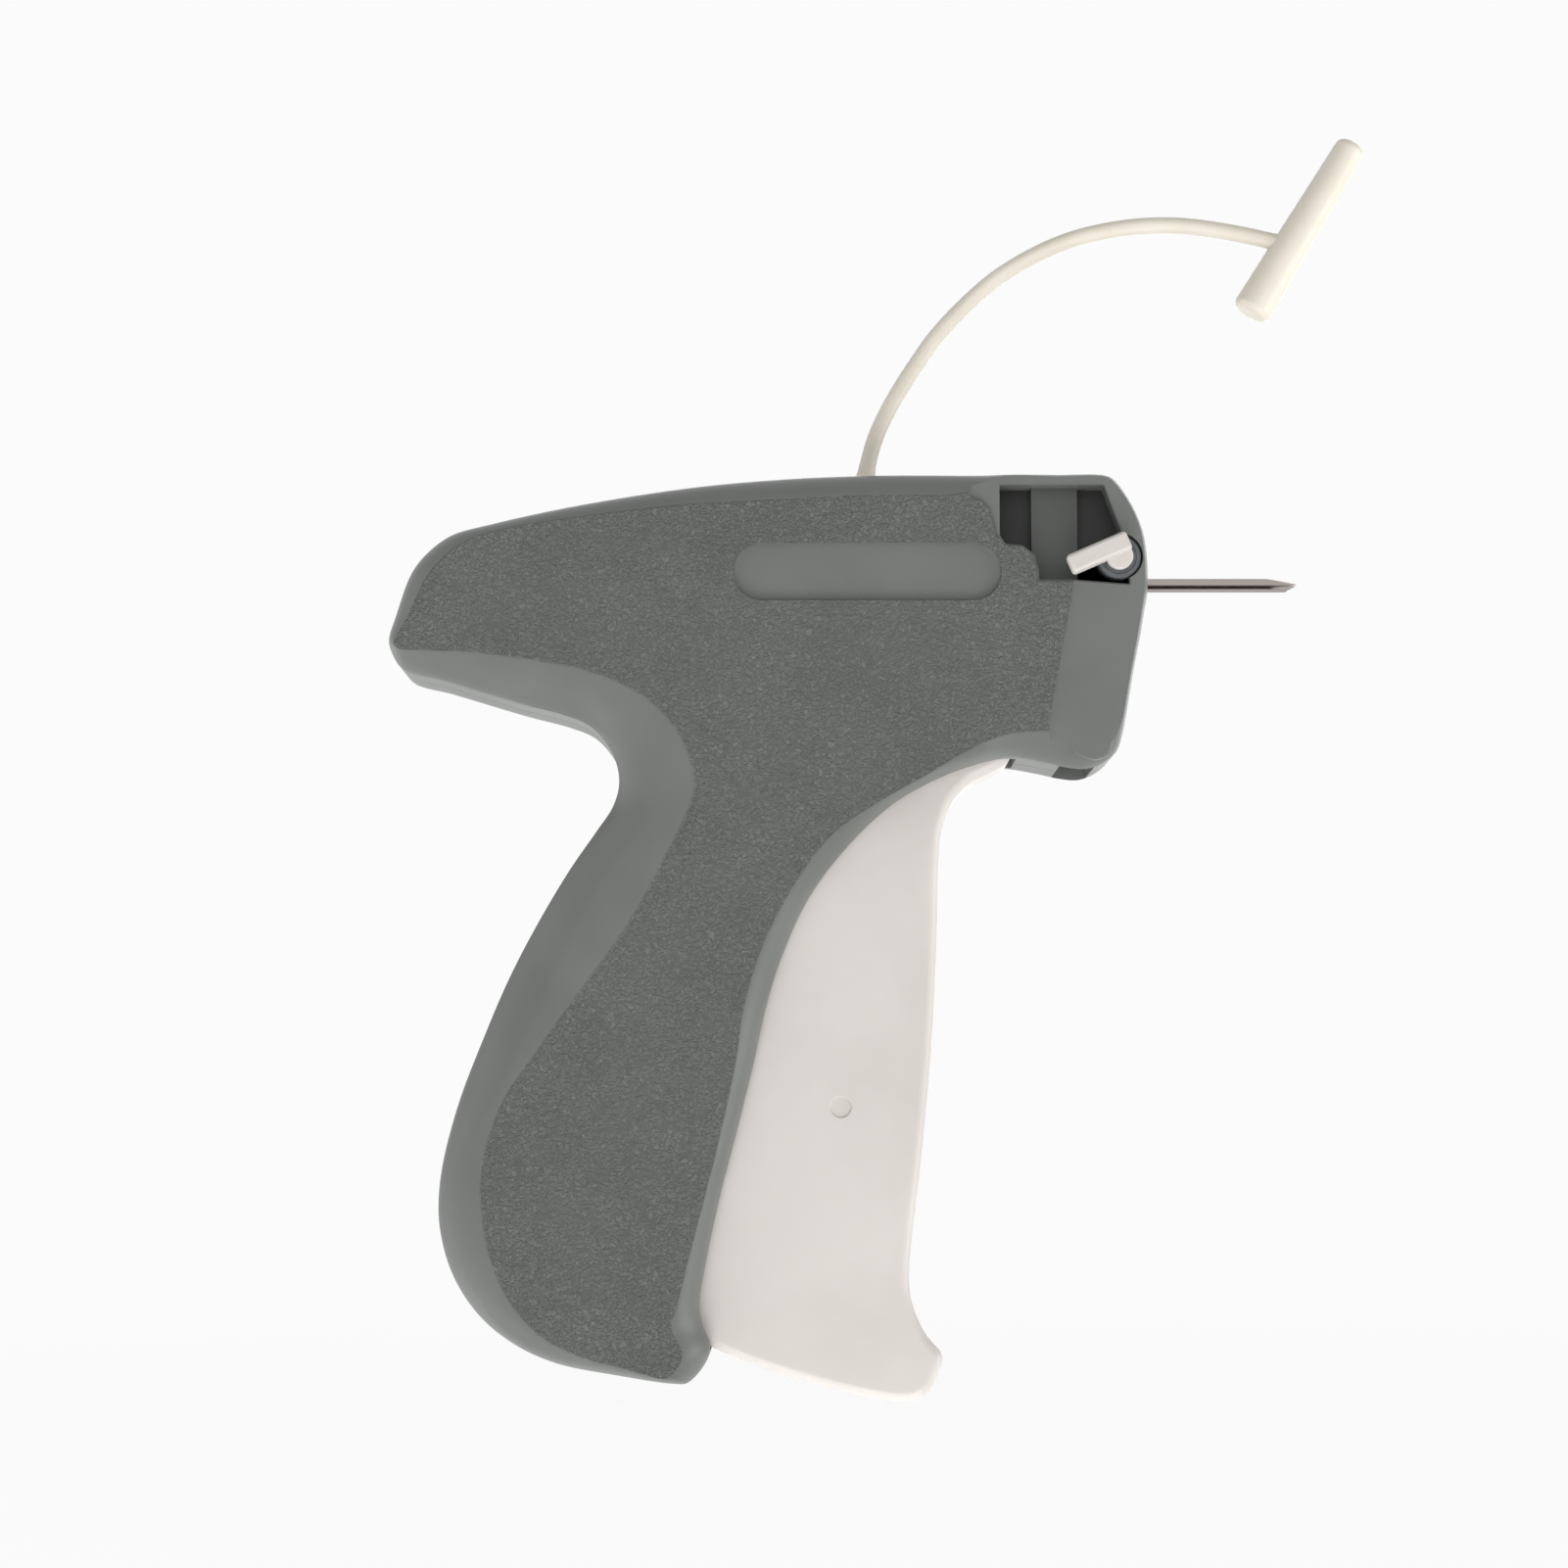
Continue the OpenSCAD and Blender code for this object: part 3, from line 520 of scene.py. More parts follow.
@dataclass
class Canvas:
    """A new material with its shader linked, and the place on the object in metres."""

    name: str
    material: bpy.types.Material = field(init=False)
    tree: bpy.types.NodeTree = field(init=False)
    shader: bpy.types.Node = field(init=False)
    place: bpy.types.NodeSocket = field(init=False)

    def __post_init__(self) -> None:
        """Makes the material and the nodes that every finish has."""
        self.material = bpy.data.materials.new(self.name)
        self.tree = cleared(self.material)
        self.shader = add(self.tree, "ShaderNodeBsdfPrincipled")
        add(self.tree, "ShaderNodeOutputMaterial", {"Surface": self.shader.outputs["BSDF"]})
        self.place = add(self.tree, "ShaderNodeTexCoord").outputs["Object"]

    def finish(self, colour: bpy.types.NodeSocket, gloss: bpy.types.NodeSocket,
               normal: bpy.types.NodeSocket) -> None:
        """Links the worked-out colour, roughness and surface to the shader.

        Args:
            colour: Output that gives the base colour.
            gloss: Output that gives the roughness.
            normal: Output that gives the surface's direction.
        """
        for name, output in (("Base Color", colour), ("Roughness", gloss), ("Normal", normal)):
            self.tree.links.new(output, self.shader.inputs[name])


def noise(tree: bpy.types.NodeTree, place: bpy.types.NodeSocket, size_mm: float, detail: float = 2,
          distortion: float = 0) -> bpy.types.NodeSocket:
    """Adds soft noise.

    Args:
        tree: The node tree.
        place: Place on the object.
        size_mm: About how wide its spots are.
        detail: How many finer layers it has.
        distortion: How far its spots are pulled into worms.

    Returns:
        The noise, from 0 to 1.
    """
    made = add(tree, "ShaderNodeTexNoise", {"Vector": place, "Scale": 1 / (size_mm * MM), "Detail": detail,
                                            "Roughness": 0.5, "Distortion": distortion})
    return made.outputs["Fac"]


@dataclass(frozen=True)
class Plastic:
    """Injection-moulded plastic: one colour through, faint flow clouds, and the mould's own surface."""

    name: str
    colour: str
    cloud: str                           # colour of the clouds
    roughness: float
    ior: float = 1.5
    cloud_mm: float = 14
    cloud_range: Pair = (0.35, 0.7)      # of the noise, where the clouds fade in
    gloss_range: Pair = (-0.04, 0.06)    # what the clouds add to the roughness
    grain_mm: float = 0.35
    grain_depth_mm: float = 0.004
    subsurface: float = 0
    subsurface_mm: Triple = (1, 1, 1)
    textured_from: float = 0             # distance in Y where the mould was spark-textured
    texture_mm: float = 0.6
    texture_depth_mm: float = 0.28
    texture_fade_mm: Pair = (0.12, 0.03)
    texture_tops: Pair = (0.38, 0.62)    # of the noise, below and above which it is flat
    texture_pull: float = 1.2

    def material(self) -> bpy.types.Material:
        """Makes the material, with clouds in colour and roughness, and grain in the surface.

        Returns:
            The material.
        """
        canvas = Canvas(self.name)
        tree, place, shader = canvas.tree, canvas.place, canvas.shader
        clouds = noise(tree, place, self.cloud_mm, 3)
        low, high = self.cloud_range
        spread = add(tree, "ShaderNodeMapRange", {"Value": clouds, "From Min": low, "From Max": high})
        colour = add(tree, "ShaderNodeMix", {6: linear(self.colour), 7: linear(self.cloud),
                                             0: spread.outputs["Result"]}, data_type="RGBA")
        low, high = self.gloss_range
        gloss = add(tree, "ShaderNodeMapRange", {"Value": clouds, "To Min": self.roughness + low,
                                                 "To Max": self.roughness + high})
        grain = noise(tree, place, self.grain_mm, 2)
        bump = add(tree, "ShaderNodeBump", {"Height": grain, "Distance": self.grain_depth_mm * MM})
        if self.textured_from:
            bump = self.texture(tree, place, bump)
        canvas.finish(colour.outputs[2], gloss.outputs["Result"], bump.outputs["Normal"])
        shader.inputs["IOR"].default_value = self.ior
        if self.subsurface:
            shader.inputs["Subsurface Weight"].default_value = self.subsurface
            shader.inputs["Subsurface Radius"].default_value = self.subsurface_mm
            shader.inputs["Subsurface Scale"].default_value = MM
        return canvas.material

    def texture(self, tree: bpy.types.NodeTree, place: bpy.types.NodeSocket,
                under: bpy.types.Node) -> bpy.types.Node:
        """Spark-eroded texture on the flat of each side only: wormy noise, pressed flat at its tops.

        Args:
            tree: The material's node tree.
            place: Place on the object.
            under: The bump that it adds to.

        Returns:
            The bump of both.
        """
        apart = add(tree, "ShaderNodeSeparateXYZ", {"Vector": place})
        out = add(tree, "ShaderNodeMath", {0: apart.outputs["Y"]}, operation="ABSOLUTE")
        low, high = ((self.textured_from - fade) * MM for fade in self.texture_fade_mm)
        flat = add(tree, "ShaderNodeMapRange", {"Value": out.outputs["Value"], "From Min": low,
                                                "From Max": high})
        worms = noise(tree, place, self.texture_mm, 3, self.texture_pull)
        low, high = self.texture_tops
        tops = add(tree, "ShaderNodeMapRange", {"Value": worms, "From Min": low, "From Max": high})
        height = add(tree, "ShaderNodeMath", {0: tops.outputs["Result"], 1: flat.outputs["Result"]},
                     operation="MULTIPLY")
        return add(tree, "ShaderNodeBump", {"Height": height.outputs["Value"],
                                            "Normal": under.outputs["Normal"],
                                            "Distance": self.texture_depth_mm * MM})


@dataclass(frozen=True)
class Steel:
    """Steel worked in one direction: fine lines along it, and faint darker clouds."""

    name: str
    colour: str
    cloud: str
    roughness: float
    line_mm: float = 0.12
    line_stretch: Triple = (0.03, 1, 1)
    line_depth_mm: float = 0.006
    cloud_mm: float = 3
    gloss_range: Pair = (-0.08, 0.12)    # what the lines add to the roughness

    def material(self) -> bpy.types.Material:
        """Makes the material, with its lines in roughness and surface.

        Returns:
            The material.
        """
        canvas = Canvas(self.name)
        tree = canvas.tree
        stretched = add(tree, "ShaderNodeMapping", {"Vector": canvas.place, "Scale": self.line_stretch})
        lines = noise(tree, stretched.outputs["Vector"], self.line_mm, 3)
        clouds = noise(tree, stretched.outputs["Vector"], self.cloud_mm, 2)
        colour = add(tree, "ShaderNodeMix", {6: linear(self.colour), 7: linear(self.cloud), 0: clouds},
                     data_type="RGBA")
        low, high = self.gloss_range
        gloss = add(tree, "ShaderNodeMapRange", {"Value": lines, "To Min": self.roughness + low,
                                                 "To Max": self.roughness + high})
        bump = add(tree, "ShaderNodeBump", {"Height": lines, "Distance": self.line_depth_mm * MM})
        canvas.finish(colour.outputs[2], gloss.outputs["Result"], bump.outputs["Normal"])
        canvas.shader.inputs["Metallic"].default_value = 1
        return canvas.material


# ABS moulded in a spark-textured mould: satin, with a wormy grain on the flats that breaks up highlights.
GREY_ABS = Plastic("moulded_grey_abs", "#6f726f", "#696c69", 0.42, textured_from=14)
# Painted shade: very dark ABS on the deep faces behind the window, which lie in the window's shadow and look
# nearly that dark; the shell there is the same grey.
PAINTED_SHADE_ABS = Plastic("painted_shade_abs", "#1f1f1e", "#191918", 0.5)
# Painted shade: the same grey ABS drawn darker than the sides on the column's face, which lies recessed in
# the window's shadow.
COLUMN_SHADE_ABS = Plastic("column_shade_abs", "#4f524f", "#4a4d4a", 0.5)
# The same ABS inside, with no texture: ribs, rails and small moulded pieces.
INNER_ABS = Plastic("plain_grey_abs", "#666966", "#5f625f", 0.45)
# Acetal, moulded: milky white that lets a little light in, with a waxy soft gloss.
WHITE_ACETAL = Plastic("moulded_white_acetal", "#dbd6d1", "#d3cdc8", 0.36, ior=1.48, cloud_mm=22,
                       subsurface=0.25, subsurface_mm=(2.2, 1.8, 1.6))
# Nylon, moulded: warm cream, slightly translucent, dull satin.
CREAM_NYLON = Plastic("moulded_cream_nylon", "#ece5d8", "#e5ddce", 0.42, ior=1.53, cloud_mm=9,
                      subsurface=0.2, subsurface_mm=(1, 0.8, 0.6))
# Glass-filled nylon, moulded: dark grey with a bluish cast, satin.
DARK_NYLON = Plastic("moulded_dark_nylon", "#5c5f62", "#54575a", 0.4, ior=1.53, cloud_mm=4)
# Stainless steel, ground lengthwise: warm grey, fine lines along the tube stretch its highlights.
GROUND_STEEL = Steel("ground_stainless_steel", "#b3aaa6", "#968d89", 0.3)
# Steel pins, drawn bright: smooth, with faint rings from the die.
DRAWN_STEEL = Steel("drawn_bright_steel", "#b9b7b4", "#a3a19e", 0.25, line_stretch=(1, 0.05, 1))
# Steel screws and springs, zinc plated: pale, slightly bluish, soft gloss.
ZINC_STEEL = Steel("zinc_plated_steel", "#bcbdbc", "#a5a7a6", 0.33, line_stretch=(1, 1, 1), line_mm=0.3)


def dress(piece: bpy.types.Object, material: bpy.types.Material) -> None:
    """Gives the whole piece one material.

    Args:
        piece: The piece.
        material: The material.
    """
    if piece.material_slots:
        for place in piece.material_slots:
            place.material = material
    else:
        piece.data.materials.append(material)


def fit(piece: bpy.types.Object, body: str, slot: str, *nodes: str) -> None:
    """Makes the piece ride on its body and stand for its CAD nodes.

    Args:
        piece: The piece.
        body: The CAD body.
        slot: The record's material slot, which is not used.
        nodes: The CAD nodes.
    """
    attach(piece, body)
    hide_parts(*nodes)
    LOG.info("%s: %d faces on %s", piece.name, len(piece.data.polygons), body)


# ---- the body's two halves ----


class Side(Enum):
    """Which half of the body, seen from behind."""

    RIGHT = "right_shell"
    LEFT = "left_shell"


@dataclass
class Shell:
    """One half of the body, drawn on +Y and mirrored for the right half.

    A level is a distance from the middle plane, where the halves meet, and how far the outline stands
    out from its own place there.
    """

    side: Side
    steps: int = 7                       # points between two stations
    half_w: float = 14                   # the flat of the side
    cheek_y: float = 13.4                # the smooth cheek around nose and window
    edge_y: float = 9                    # where the rounded edge starts
    edge_rows: Pair = (3, 6)             # rows of points below it
    wall: float = 2.2
    chamfer_share: float = 0.35          # of the rounded edge, the rest is a quarter ellipse
    roll_rows: int = 12
    seam: float = 0.16                   # groove along the joint of the halves
    past: float = 1                      # how far a cut runs past the surface that it opens
    cavities: tuple[Pair, ...] = ((0, 6.8), (0.35, 9.3), (0.75, 11.2))   # outline's share, and depth

    # Screws, where the bosses and holes for them start and end.
    screws: tuple[Pair, ...] = ((-108, -12.4), (-31.5, 10), (-103.8, -86.5), (-84.5, -117.5))
    screw_boss_r: float = 3.2
    pilot_r: float = 1.43
    pilot_end: float = 9.3
    clearance_r: float = 1.45
    head_r: float = 2.8
    head_levels: tuple[Pair, ...] = ((11.2, 0), (13.7, 0), (14.2, 0.5))

    # Bosses, rails and seats: places in X, Y and Z.
    rails: tuple = (((-96.7, -37.3), (4.6, 14), (1.2, 2.8)), ((-96.7, -37.3), (4.6, 14), (-2.8, -1.2)))
    guide_pad: tuple = ((-30.5, -25.5), (6, 14), (-0.6, 5))
    detent_seat: tuple = ((-7.6, -4), (1.2, 14), (-23, -18.6))
    trigger_pivot: Pair = (-24, -8.5)
    trigger_boss: Pair = (2.8, 4.5)      # radius in the left half and in the right one
    trigger_boss_from: float = 6.8
    trigger_hole: Pair = (2.03, 10.8)    # radius, and where it ends
    wheel: Pair = (-7.5, -10.3)
    wheel_boss_r: float = 2.2
    wheel_boss_from: Pair = (9.1, 3.2)   # in the left half and in the right one
    wheel_hole: Pair = (0.93, 10.3)

    # Trigger slot, bounded in front by the circle that the trigger's toe sweeps.
    sweep_r: float = 120.8
    sweep_steps: int = 160
    slot_half: float = 7
    slot: Array = field(default_factory=lambda: np.array([
        [-20.6, -20], [-41, -24], [-65, -55], [-69, -76], [-76, -112], [-74, -122], [-30, -132],
        [-20.6, -60]]))

    # Needle's hole along X, strap's hole and clip's mouth from above, clip's exit below.
    needle_hole: Array = field(default_factory=lambda: np.array([
        [-4, 1.35], [-0.2, 1.35], [0.3, 1.7], [1, 1.7]]))
    strap_hole: Array = field(default_factory=lambda: np.array([[9, 1.55], [20, 1.55]]))
    clip_mouth: tuple = ((-18.2, -11), (-1, 2.1), (10, 18))
    clip_exit: Array = field(default_factory=lambda: np.array([
        [-14.2, -24], [-9.2, -24], [-8, -34], [-13.8, -34]]))
    clip_exit_half: float = 9

    # Border of the textured panel, and the proud plate of the cheek.
    panel_border: Array = field(default_factory=lambda: np.array([
        [-27.8, 30], [-27.8, 12], [-26.2, 11.55], [-24.8, 10.2], [-24.05, 7.9], [-23.6, 5.8], [-22.7, 5.35],
        [-22.45, 4.5], [-19.8, 4.4], [-18.5, 3.8], [-17.6, 2.5], [-17.2, 0.6], [-17.2, -1.1],
        [-11.9, -1.3], [-11.9, -3.7], [-13, -9.5], [-15.15, -21], [-15.6, -24.4], [-16, -45], [10, -45],
        [10, 30]]))
    panel_step: Pair = (0.4, 0.5)        # how far the cut runs past the flat, and how far it leans out
    cheek_plate: Array = field(default_factory=lambda: np.array([
        [-11.6, -8], [-13.4, -15], [-15.2, -21], [-14.9, -24.2], [-13.1, -26.9], [-10.8, -28.6],
        [-8.5, -29.1], [-6.7, -28.3], [-5.9, -26.6], [-5.4, -24], [-4.4, -18], [-3.5, -12], [-3.2, -8]]))
    plate_from: float = 7
    plate_edge: float = 0.3              # half the height of the plate's slanted edge
    plate_steps: int = 5

    # Stadium-shaped pocket: its floor's and its rim's levels lead from a fillet to a soft lip.
    pocket: Pair = (-43.9, 0.2)
    pocket_size: Pair = (41.8, 9.1)
    pocket_depth: float = 1
    pocket_inset: float = 0.25
    pocket_floor: tuple[Pair, ...] = ((0, -0.25), (0.1, -0.07), (0.25, 0))
    pocket_rim: tuple[Pair, ...] = ((-0.3, 0.08), (-0.12, 0.14), (0.1, 0.4))
    pocket_steps: int = 33

    # Side window, its floor and its column, and the lock's boss.
    window: Array = field(default_factory=lambda: np.array([
        [-23.3, 13.9], [-7, 13.9], [-4.2, 6], [-3.3, 3], [-3.1, -1.7], [-11.8, -1], [-17.2, -1],
        [-17.2, 0.6], [-17.9, 3], [-19.8, 4.4], [-22.4, 4.6], [-23.3, 6]]))
    window_corner: float = 0.3
    window_rim: tuple[Pair, ...] = ((-0.25, 0), (0.2, 0.45))
    window_y: float = 8
    window_floor: float = 1.2            # thickness
    window_floor_x: Pair = (-21, -1.6)
    window_floor_z: Pair = (-2.4, 3.4)
    column_x: Pair = (-18.2, -11)
    column_y: float = 10.2
    column_z: Pair = (-1.2, 14.6)
    lock: Pair = (-4.7, 2.6)
    lock_boss: Pair = (3.5, 3.9)         # radius, and where it starts
    lock_bore_r: float = 1.85
    lock_seat_r: float = 3.7
    disc_bottom: float = 11.1

    # Where the painted shade goes: above the bend, the nose's front leans back by a share of the height.
    deep_x: Pair = (-24, -3)
    deep_z: Pair = (-2.6, 13.8)
    nose_bend: float = 11
    nose_lean: float = 0.667
    crease: float = 24

    def section(self, t: float) -> Array:
        """Outline between the silhouette at 0 and the flat of the side at 1."""
        return spline(EDGE, self.steps) * (1 - t) + spline(FACE, self.steps) * t

    def outside(self) -> Surface:
        """The half's outer solid.

        From the joint the wall runs straight up the silhouette. The rounded edge then turns in to the
        flat of the side: across by one minus the cosine and up by the sine of an angle, mixed with a
        straight chamfer, so that a faint crease is left where the flat begins.

        Returns:
            The surface.
        """
        edge, face = self.section(0), self.section(1)
        v = np.linspace(0, 1, self.roll_rows)
        k = self.chamfer_share
        t = k * v + (1 - k) * (1 - np.cos(v * np.pi / 2))
        y = self.edge_y + (self.half_w - self.edge_y) * (k * v + (1 - k) * np.sin(v * np.pi / 2))
        low_y = np.array([0, self.seam, *self.edge_rows])
        low = np.repeat(edge[None], len(low_y), axis=0)
        low[0] = edge - outward(edge) * self.seam
        roll = edge[None] + t[:, None, None] * (face - edge)[None]
        return loft(raised(np.concatenate([low, roll]), np.concatenate([low_y, y])))

    def hole(self, place: Pair, radius: float, end: float) -> Surface:
        """Round cut from past the middle plane to a distance from it."""
        return prism(circle(place, radius), [(-self.past, 0), (end, 0)])

    def bosses(self) -> Surface:
        """What stays solid inside: screw bosses, rails, the guide's pad, pin bosses, the detent's seat.

        Returns:
            The surface of them all.
        """
        out = self.half_w
        which = 0 if self.side is Side.LEFT else 1
        made = prism(circle(self.screws[0], self.screw_boss_r), [(0, 0), (out, 0)])
        for place in self.screws[1:]:
            made += prism(circle(place, self.screw_boss_r), [(0, 0), (out, 0)])
        for place in (*self.rails, self.guide_pad):
            made += box(*place)
        made += prism(circle(self.trigger_pivot, self.trigger_boss[which]),
                      [(self.trigger_boss_from, 0), (out, 0)])
        made += prism(circle(self.wheel, self.wheel_boss_r), [(self.wheel_boss_from[which], 0), (out, 0)])
        return made + box(*self.detent_seat)

    def hollow(self, piece: bpy.types.Object) -> None:
        """Cuts the cavity in steps, each a wall's thickness inside the outline there.

        Args:
            piece: The half.
        """
        for t, depth in self.cavities:
            outline = inset(self.section(t), self.wall)
            void = solid("void", prism(outline, [(-self.past, 0), (depth, 0)]))
            carve(void, self.bosses())
            carve(piece, surface_of(void))

    def slot_cut(self) -> Surface:
        """The trigger's slot.

        Returns:
            Its outline's solid, as far as the circle round the trigger's pivot reaches.
        """
        slot = solid("slot", prism(self.slot, [(-self.past, 0), (self.slot_half, 0)]))
        sweep = circle(self.trigger_pivot, self.sweep_r, self.sweep_steps)
        carve(slot, prism(sweep, [(-2 * self.past, 0), (self.slot_half + self.past, 0)]), Join.KEEP)
        return surface_of(slot)

    def pocket_cut(self) -> Surface:
        """The pocket: a band round a straight line, at the levels of its floor and its rim.

        Returns:
            The surface.
        """
        length, height = self.pocket_size
        half = (length - height) / 2
        x, z = self.pocket
        middle = np.array([[x - half, z], [x + half, z]])
        floor = self.half_w - self.pocket_depth
        levels = [(floor + up, out) for up, out in self.pocket_floor]
        levels += [(self.half_w + up, out) for up, out in self.pocket_rim]
        return prism(band(middle, height / 2 - self.pocket_inset, self.pocket_steps), levels)

    def openings(self) -> list[Surface]:
        """The cuts that both halves have.

        Returns:
            Panel's step, pocket, trigger slot, pins, needle, strap, clip's mouth and clip's exit.
        """
        over, lean = self.panel_step
        return [
            prism(self.panel_border, [(self.cheek_y, 0), (self.half_w + over, lean)]),
            self.pocket_cut(),
            self.slot_cut(),
            self.hole(self.trigger_pivot, *self.trigger_hole),
            self.hole(self.wheel, *self.wheel_hole),
            lathe(self.needle_hole, (0, 0, 0), (1, 0, 0)),
            lathe(self.strap_hole, (self.pocket[0], 0, 0), (0, 0, 1)),
            box(*self.clip_mouth),
            prism(self.clip_exit, [(-self.past, 0), (self.clip_exit_half, 0)]),
        ]

    def cut_window(self, piece: bpy.types.Object) -> None:
        """Opens the window in the right half, and puts in its column, floor and the lock's boss.

        Args:
            piece: The half.
        """
        top = self.half_w + self.past
        rim = [(self.cheek_y + up, out) for up, out in self.window_rim]
        levels = [(self.window_y, 0), *rim, (top, rim[-1][1])]
        carve(piece, prism(rounded(self.window, self.window_corner), levels))
        low = self.window_y - self.window_floor
        carve(piece, box(self.column_x, (low, self.column_y), self.column_z), Join.ADD)
        carve(piece, box(self.window_floor_x, (low, self.window_y), self.window_floor_z), Join.ADD)
        radius, start = self.lock_boss
        carve(piece, prism(circle(self.lock, radius), [(start, 0), (self.disc_bottom, 0)]), Join.ADD)
        for radius, start in ((self.lock_bore_r, -self.past), (self.lock_seat_r, self.disc_bottom)):
            carve(piece, prism(circle(self.lock, radius), [(start, 0), (top, 0)]))

    def cut_screw(self, piece: bpy.types.Object, place: Pair) -> None:
        """Cuts a screw's pilot hole in the right half, or its clearance and head's seat in the left one.

        Args:
            piece: The half.
            place: The screw's axis in X and Z.
        """
        if self.side is Side.RIGHT:
            carve(piece, self.hole(place, self.pilot_r, self.pilot_end))
        else:
            carve(piece, self.hole(place, self.clearance_r, self.half_w + self.past))
            carve(piece, prism(circle(place, self.head_r), list(self.head_levels)))

    def paint_shade(self, piece: bpy.types.Object, column: bpy.types.Material, painted_shade: bpy.types.Material) -> None:
        """Paints shade onto the window's column, a darker grey, and onto the deeper faces inside the nose,
        very dark.

        Args:
            piece: The half.
            column: Painted shade of the column's face, a darker grey.
            painted_shade: Painted shade of the deeper faces, very dark.
        """
        piece.data.materials.append(column)
        piece.data.materials.append(painted_shade)
        middle = np.empty(len(piece.data.polygons) * 3)
        piece.data.polygons.foreach_get("center", middle)
        x, y, z = middle.reshape(-1, 3).T / MM
        near = 0.1
        behind_nose = x < self.deep_x[1] - np.clip(z - self.nose_bend, 0, None) * self.nose_lean
        deep = (np.abs(y) < self.column_y - near) & (x > self.deep_x[0]) & behind_nose
        deep &= (z > self.deep_z[0]) & (z < self.deep_z[1])
        front = (np.abs(np.abs(y) - self.column_y) < near / 2) & (z > self.column_z[0] - near)
        front &= (x > self.column_x[0] - near) & (x < self.column_x[1] + near) & (z < self.column_z[1])
        # painted shade: the column's face and the deep faces inside the nose get the darker finishes
        piece.data.polygons.foreach_set("material_index", (front + 2 * deep).astype(np.int32))

    def build(self, material: bpy.types.Material, column: bpy.types.Material,
              painted_shade: bpy.types.Material) -> bpy.types.Object:
        """Makes the half, dresses it and fits it to the housing.

        Args:
            material: Finish of the half.
            column: Painted shade of the column's face in the window.
            painted_shade: Painted shade of the deep faces inside the nose.

        Returns:
            The half.
        """
        piece = solid(f"{self.side.value}_moulding", self.outside())
        edge = self.plate_edge
        carve(piece, prism(spline(self.cheek_plate, self.plate_steps), [
            (self.plate_from, 0), (self.cheek_y - edge, 0), (self.cheek_y + edge, -2 * edge)]), Join.ADD)
        self.hollow(piece)
        for cut in self.openings():
            carve(piece, cut)
        if self.side is Side.RIGHT:
            self.cut_window(piece)
        for place in self.screws:
            self.cut_screw(piece, place)
        if self.side is Side.RIGHT:
            name, surface = piece.name, mirrored(surface_of(piece))
            piece = solid(name, surface)
        dress(piece, material)
        self.paint_shade(piece, column, painted_shade)
        shade(piece, self.crease)
        fit(piece, "housing", "grey_abs", self.side.value)
        return piece


# ---- trigger ----


